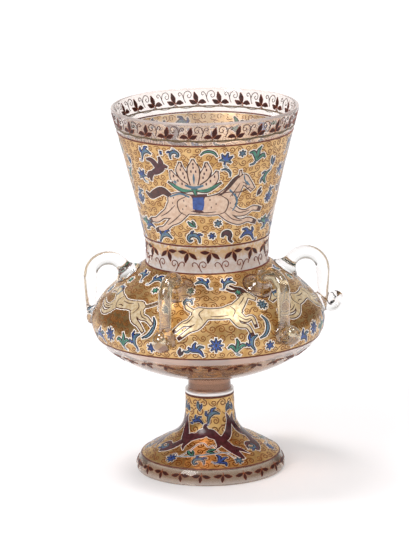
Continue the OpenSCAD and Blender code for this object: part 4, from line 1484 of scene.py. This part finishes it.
# Degrees round the foot, height, width
BRANCH = [
    [(-55, 19.5, 4.0), (-46, 22.6, 8.4), (-37, 27.0, 7.2), (-28, 30.0, 9.8), (-18, 31.4, 7.2),
     (-8, 33.4, 9.4), (2, 34.4, 7.4), (12, 33.2, 9.4), (22, 30.6, 7.2), (31, 26.4, 9.8), (38, 21.4, 7.8),
     (42, 17.2, 3.0)],
    [(-34, 28.0, 7.0), (-42, 32.0, 7.8), (-49, 37.0, 6.6), (-54, 43.0, 4.6), (-49, 47.5, 0.6)],
    [(26, 28.6, 7.0), (38, 31.0, 7.4), (48, 35.0, 6.8), (55, 42.0, 5.6), (49, 49.0, 0.6)],
    [(-44, 23.0, 6.0), (-58, 24.4, 4.8), (-65, 21.4, 0.6)],
    [(33, 25.0, 6.0), (45, 22.6, 4.8), (52, 19.4, 0.6)],
    [(20, 31.0, 5.4), (21, 26.4, 4.2), (16, 24.4, 0.6)],
    [(-24, 30.4, 5.4), (-29, 25.4, 4.2), (-25, 22.8, 0.6)],
    [(4, 34.6, 5.0), (-2, 38.6, 4.0), (4, 41.8, 0.6)],
]
CLOUD_LINE = [(-37, 17.6), (-31, 20.4), (-25, 19.2), (-17, 22.6), (-10, 26.4), (-1, 27.6), (6, 25.4),
              (13, 26.2), (19, 22.8), (27, 21.4), (33, 18.6)]
# The leaves' stalk is drawn in flat millimetres, once broad in white and once thinner in blue.
STALK = [(-26, -2), (-14, 0), (0, 3.0), (12, 4.4), (20, 3.2)]
STALK_Z, STALK_HALO = 20.0, 0.3
STALK_BROAD, STALK_THIN = (0.4, 1.0, 1.2, 0.9, 0.3), (0.4, 0.9, 1.1, 0.8, 0.3)
FOOT_LEAVES = [
    (-8, 55, "bud", "sky", 20, 0.9, False), (3, 48.0, "wave", "sky", 35, 1.0, False),
    (-10, 43.0, "trefoil", "deep", 20, 0.8, False), (17, 54.0, "bud", "sky", -20, 0.9, False),
    (-20, 52.5, "bud", "sky", 60, 0.85, False),
    (-14, 21.5, "bud", "teal", 60, 1.0, False), (3, 23.5, "bud", "teal", -60, 0.95, False),
    (-7, 17.2, "crest", "sky", 10, 0.95, False), (12, 18.0, "twin", "deep", -50, 0.95, False),
    (27, 16.8, "small_star", "sky", 0, 0.95, False), (-31, 17.6, "star", "blue", 0, 0.9, False),
    (42, 22.6, "crest", "sky", 200, 0.8, False),
]


# %% Painting the foot
def hang(zone, phi, knots):
    degrees, z, width = smooth_line(knots).T
    return np.stack([phi + np.radians(degrees), zone.skin.along(z), width], axis=1)


def with_widths(points, widths):
    return [(x, y, width) for (x, y), width in zip(points, widths)]


for i in range(FOOT_SWAGS):
    phi = FACING + SWAG_TURN + math.tau * i / FOOT_SWAGS
    for knots in BRANCH:
        line = hang(foot_zone, phi, [(a, z, BRANCH_WIDTH * w) for a, z, w in knots])
        lay_ribbon(foot_zone, line, "white", "white", BRANCH_HALO)
        lay_ribbon(foot_zone, line, "plum", "fill")
    cloud = hang(foot_zone, phi, [(a, z, CLOUD_WIDTH) for a, z in CLOUD_LINE])
    lay_ribbon(foot_zone, cloud, "white", "white", CLOUD_HALO)
    lay_ribbon(foot_zone, cloud, "plum", "outline")
    paint_panel(foot_zone, phi + SPRAY_TURN, FOOT_LEAVES, FOOT_LEAF_EDGE)
    stalk = Spot(foot_zone, phi + SPRAY_TURN, STALK_Z)
    brush(stalk, with_widths(STALK, STALK_BROAD), "white", "white", STALK_HALO)
    brush(stalk, with_widths(STALK, STALK_THIN), "steel", "fill")
fire(foot_zone)
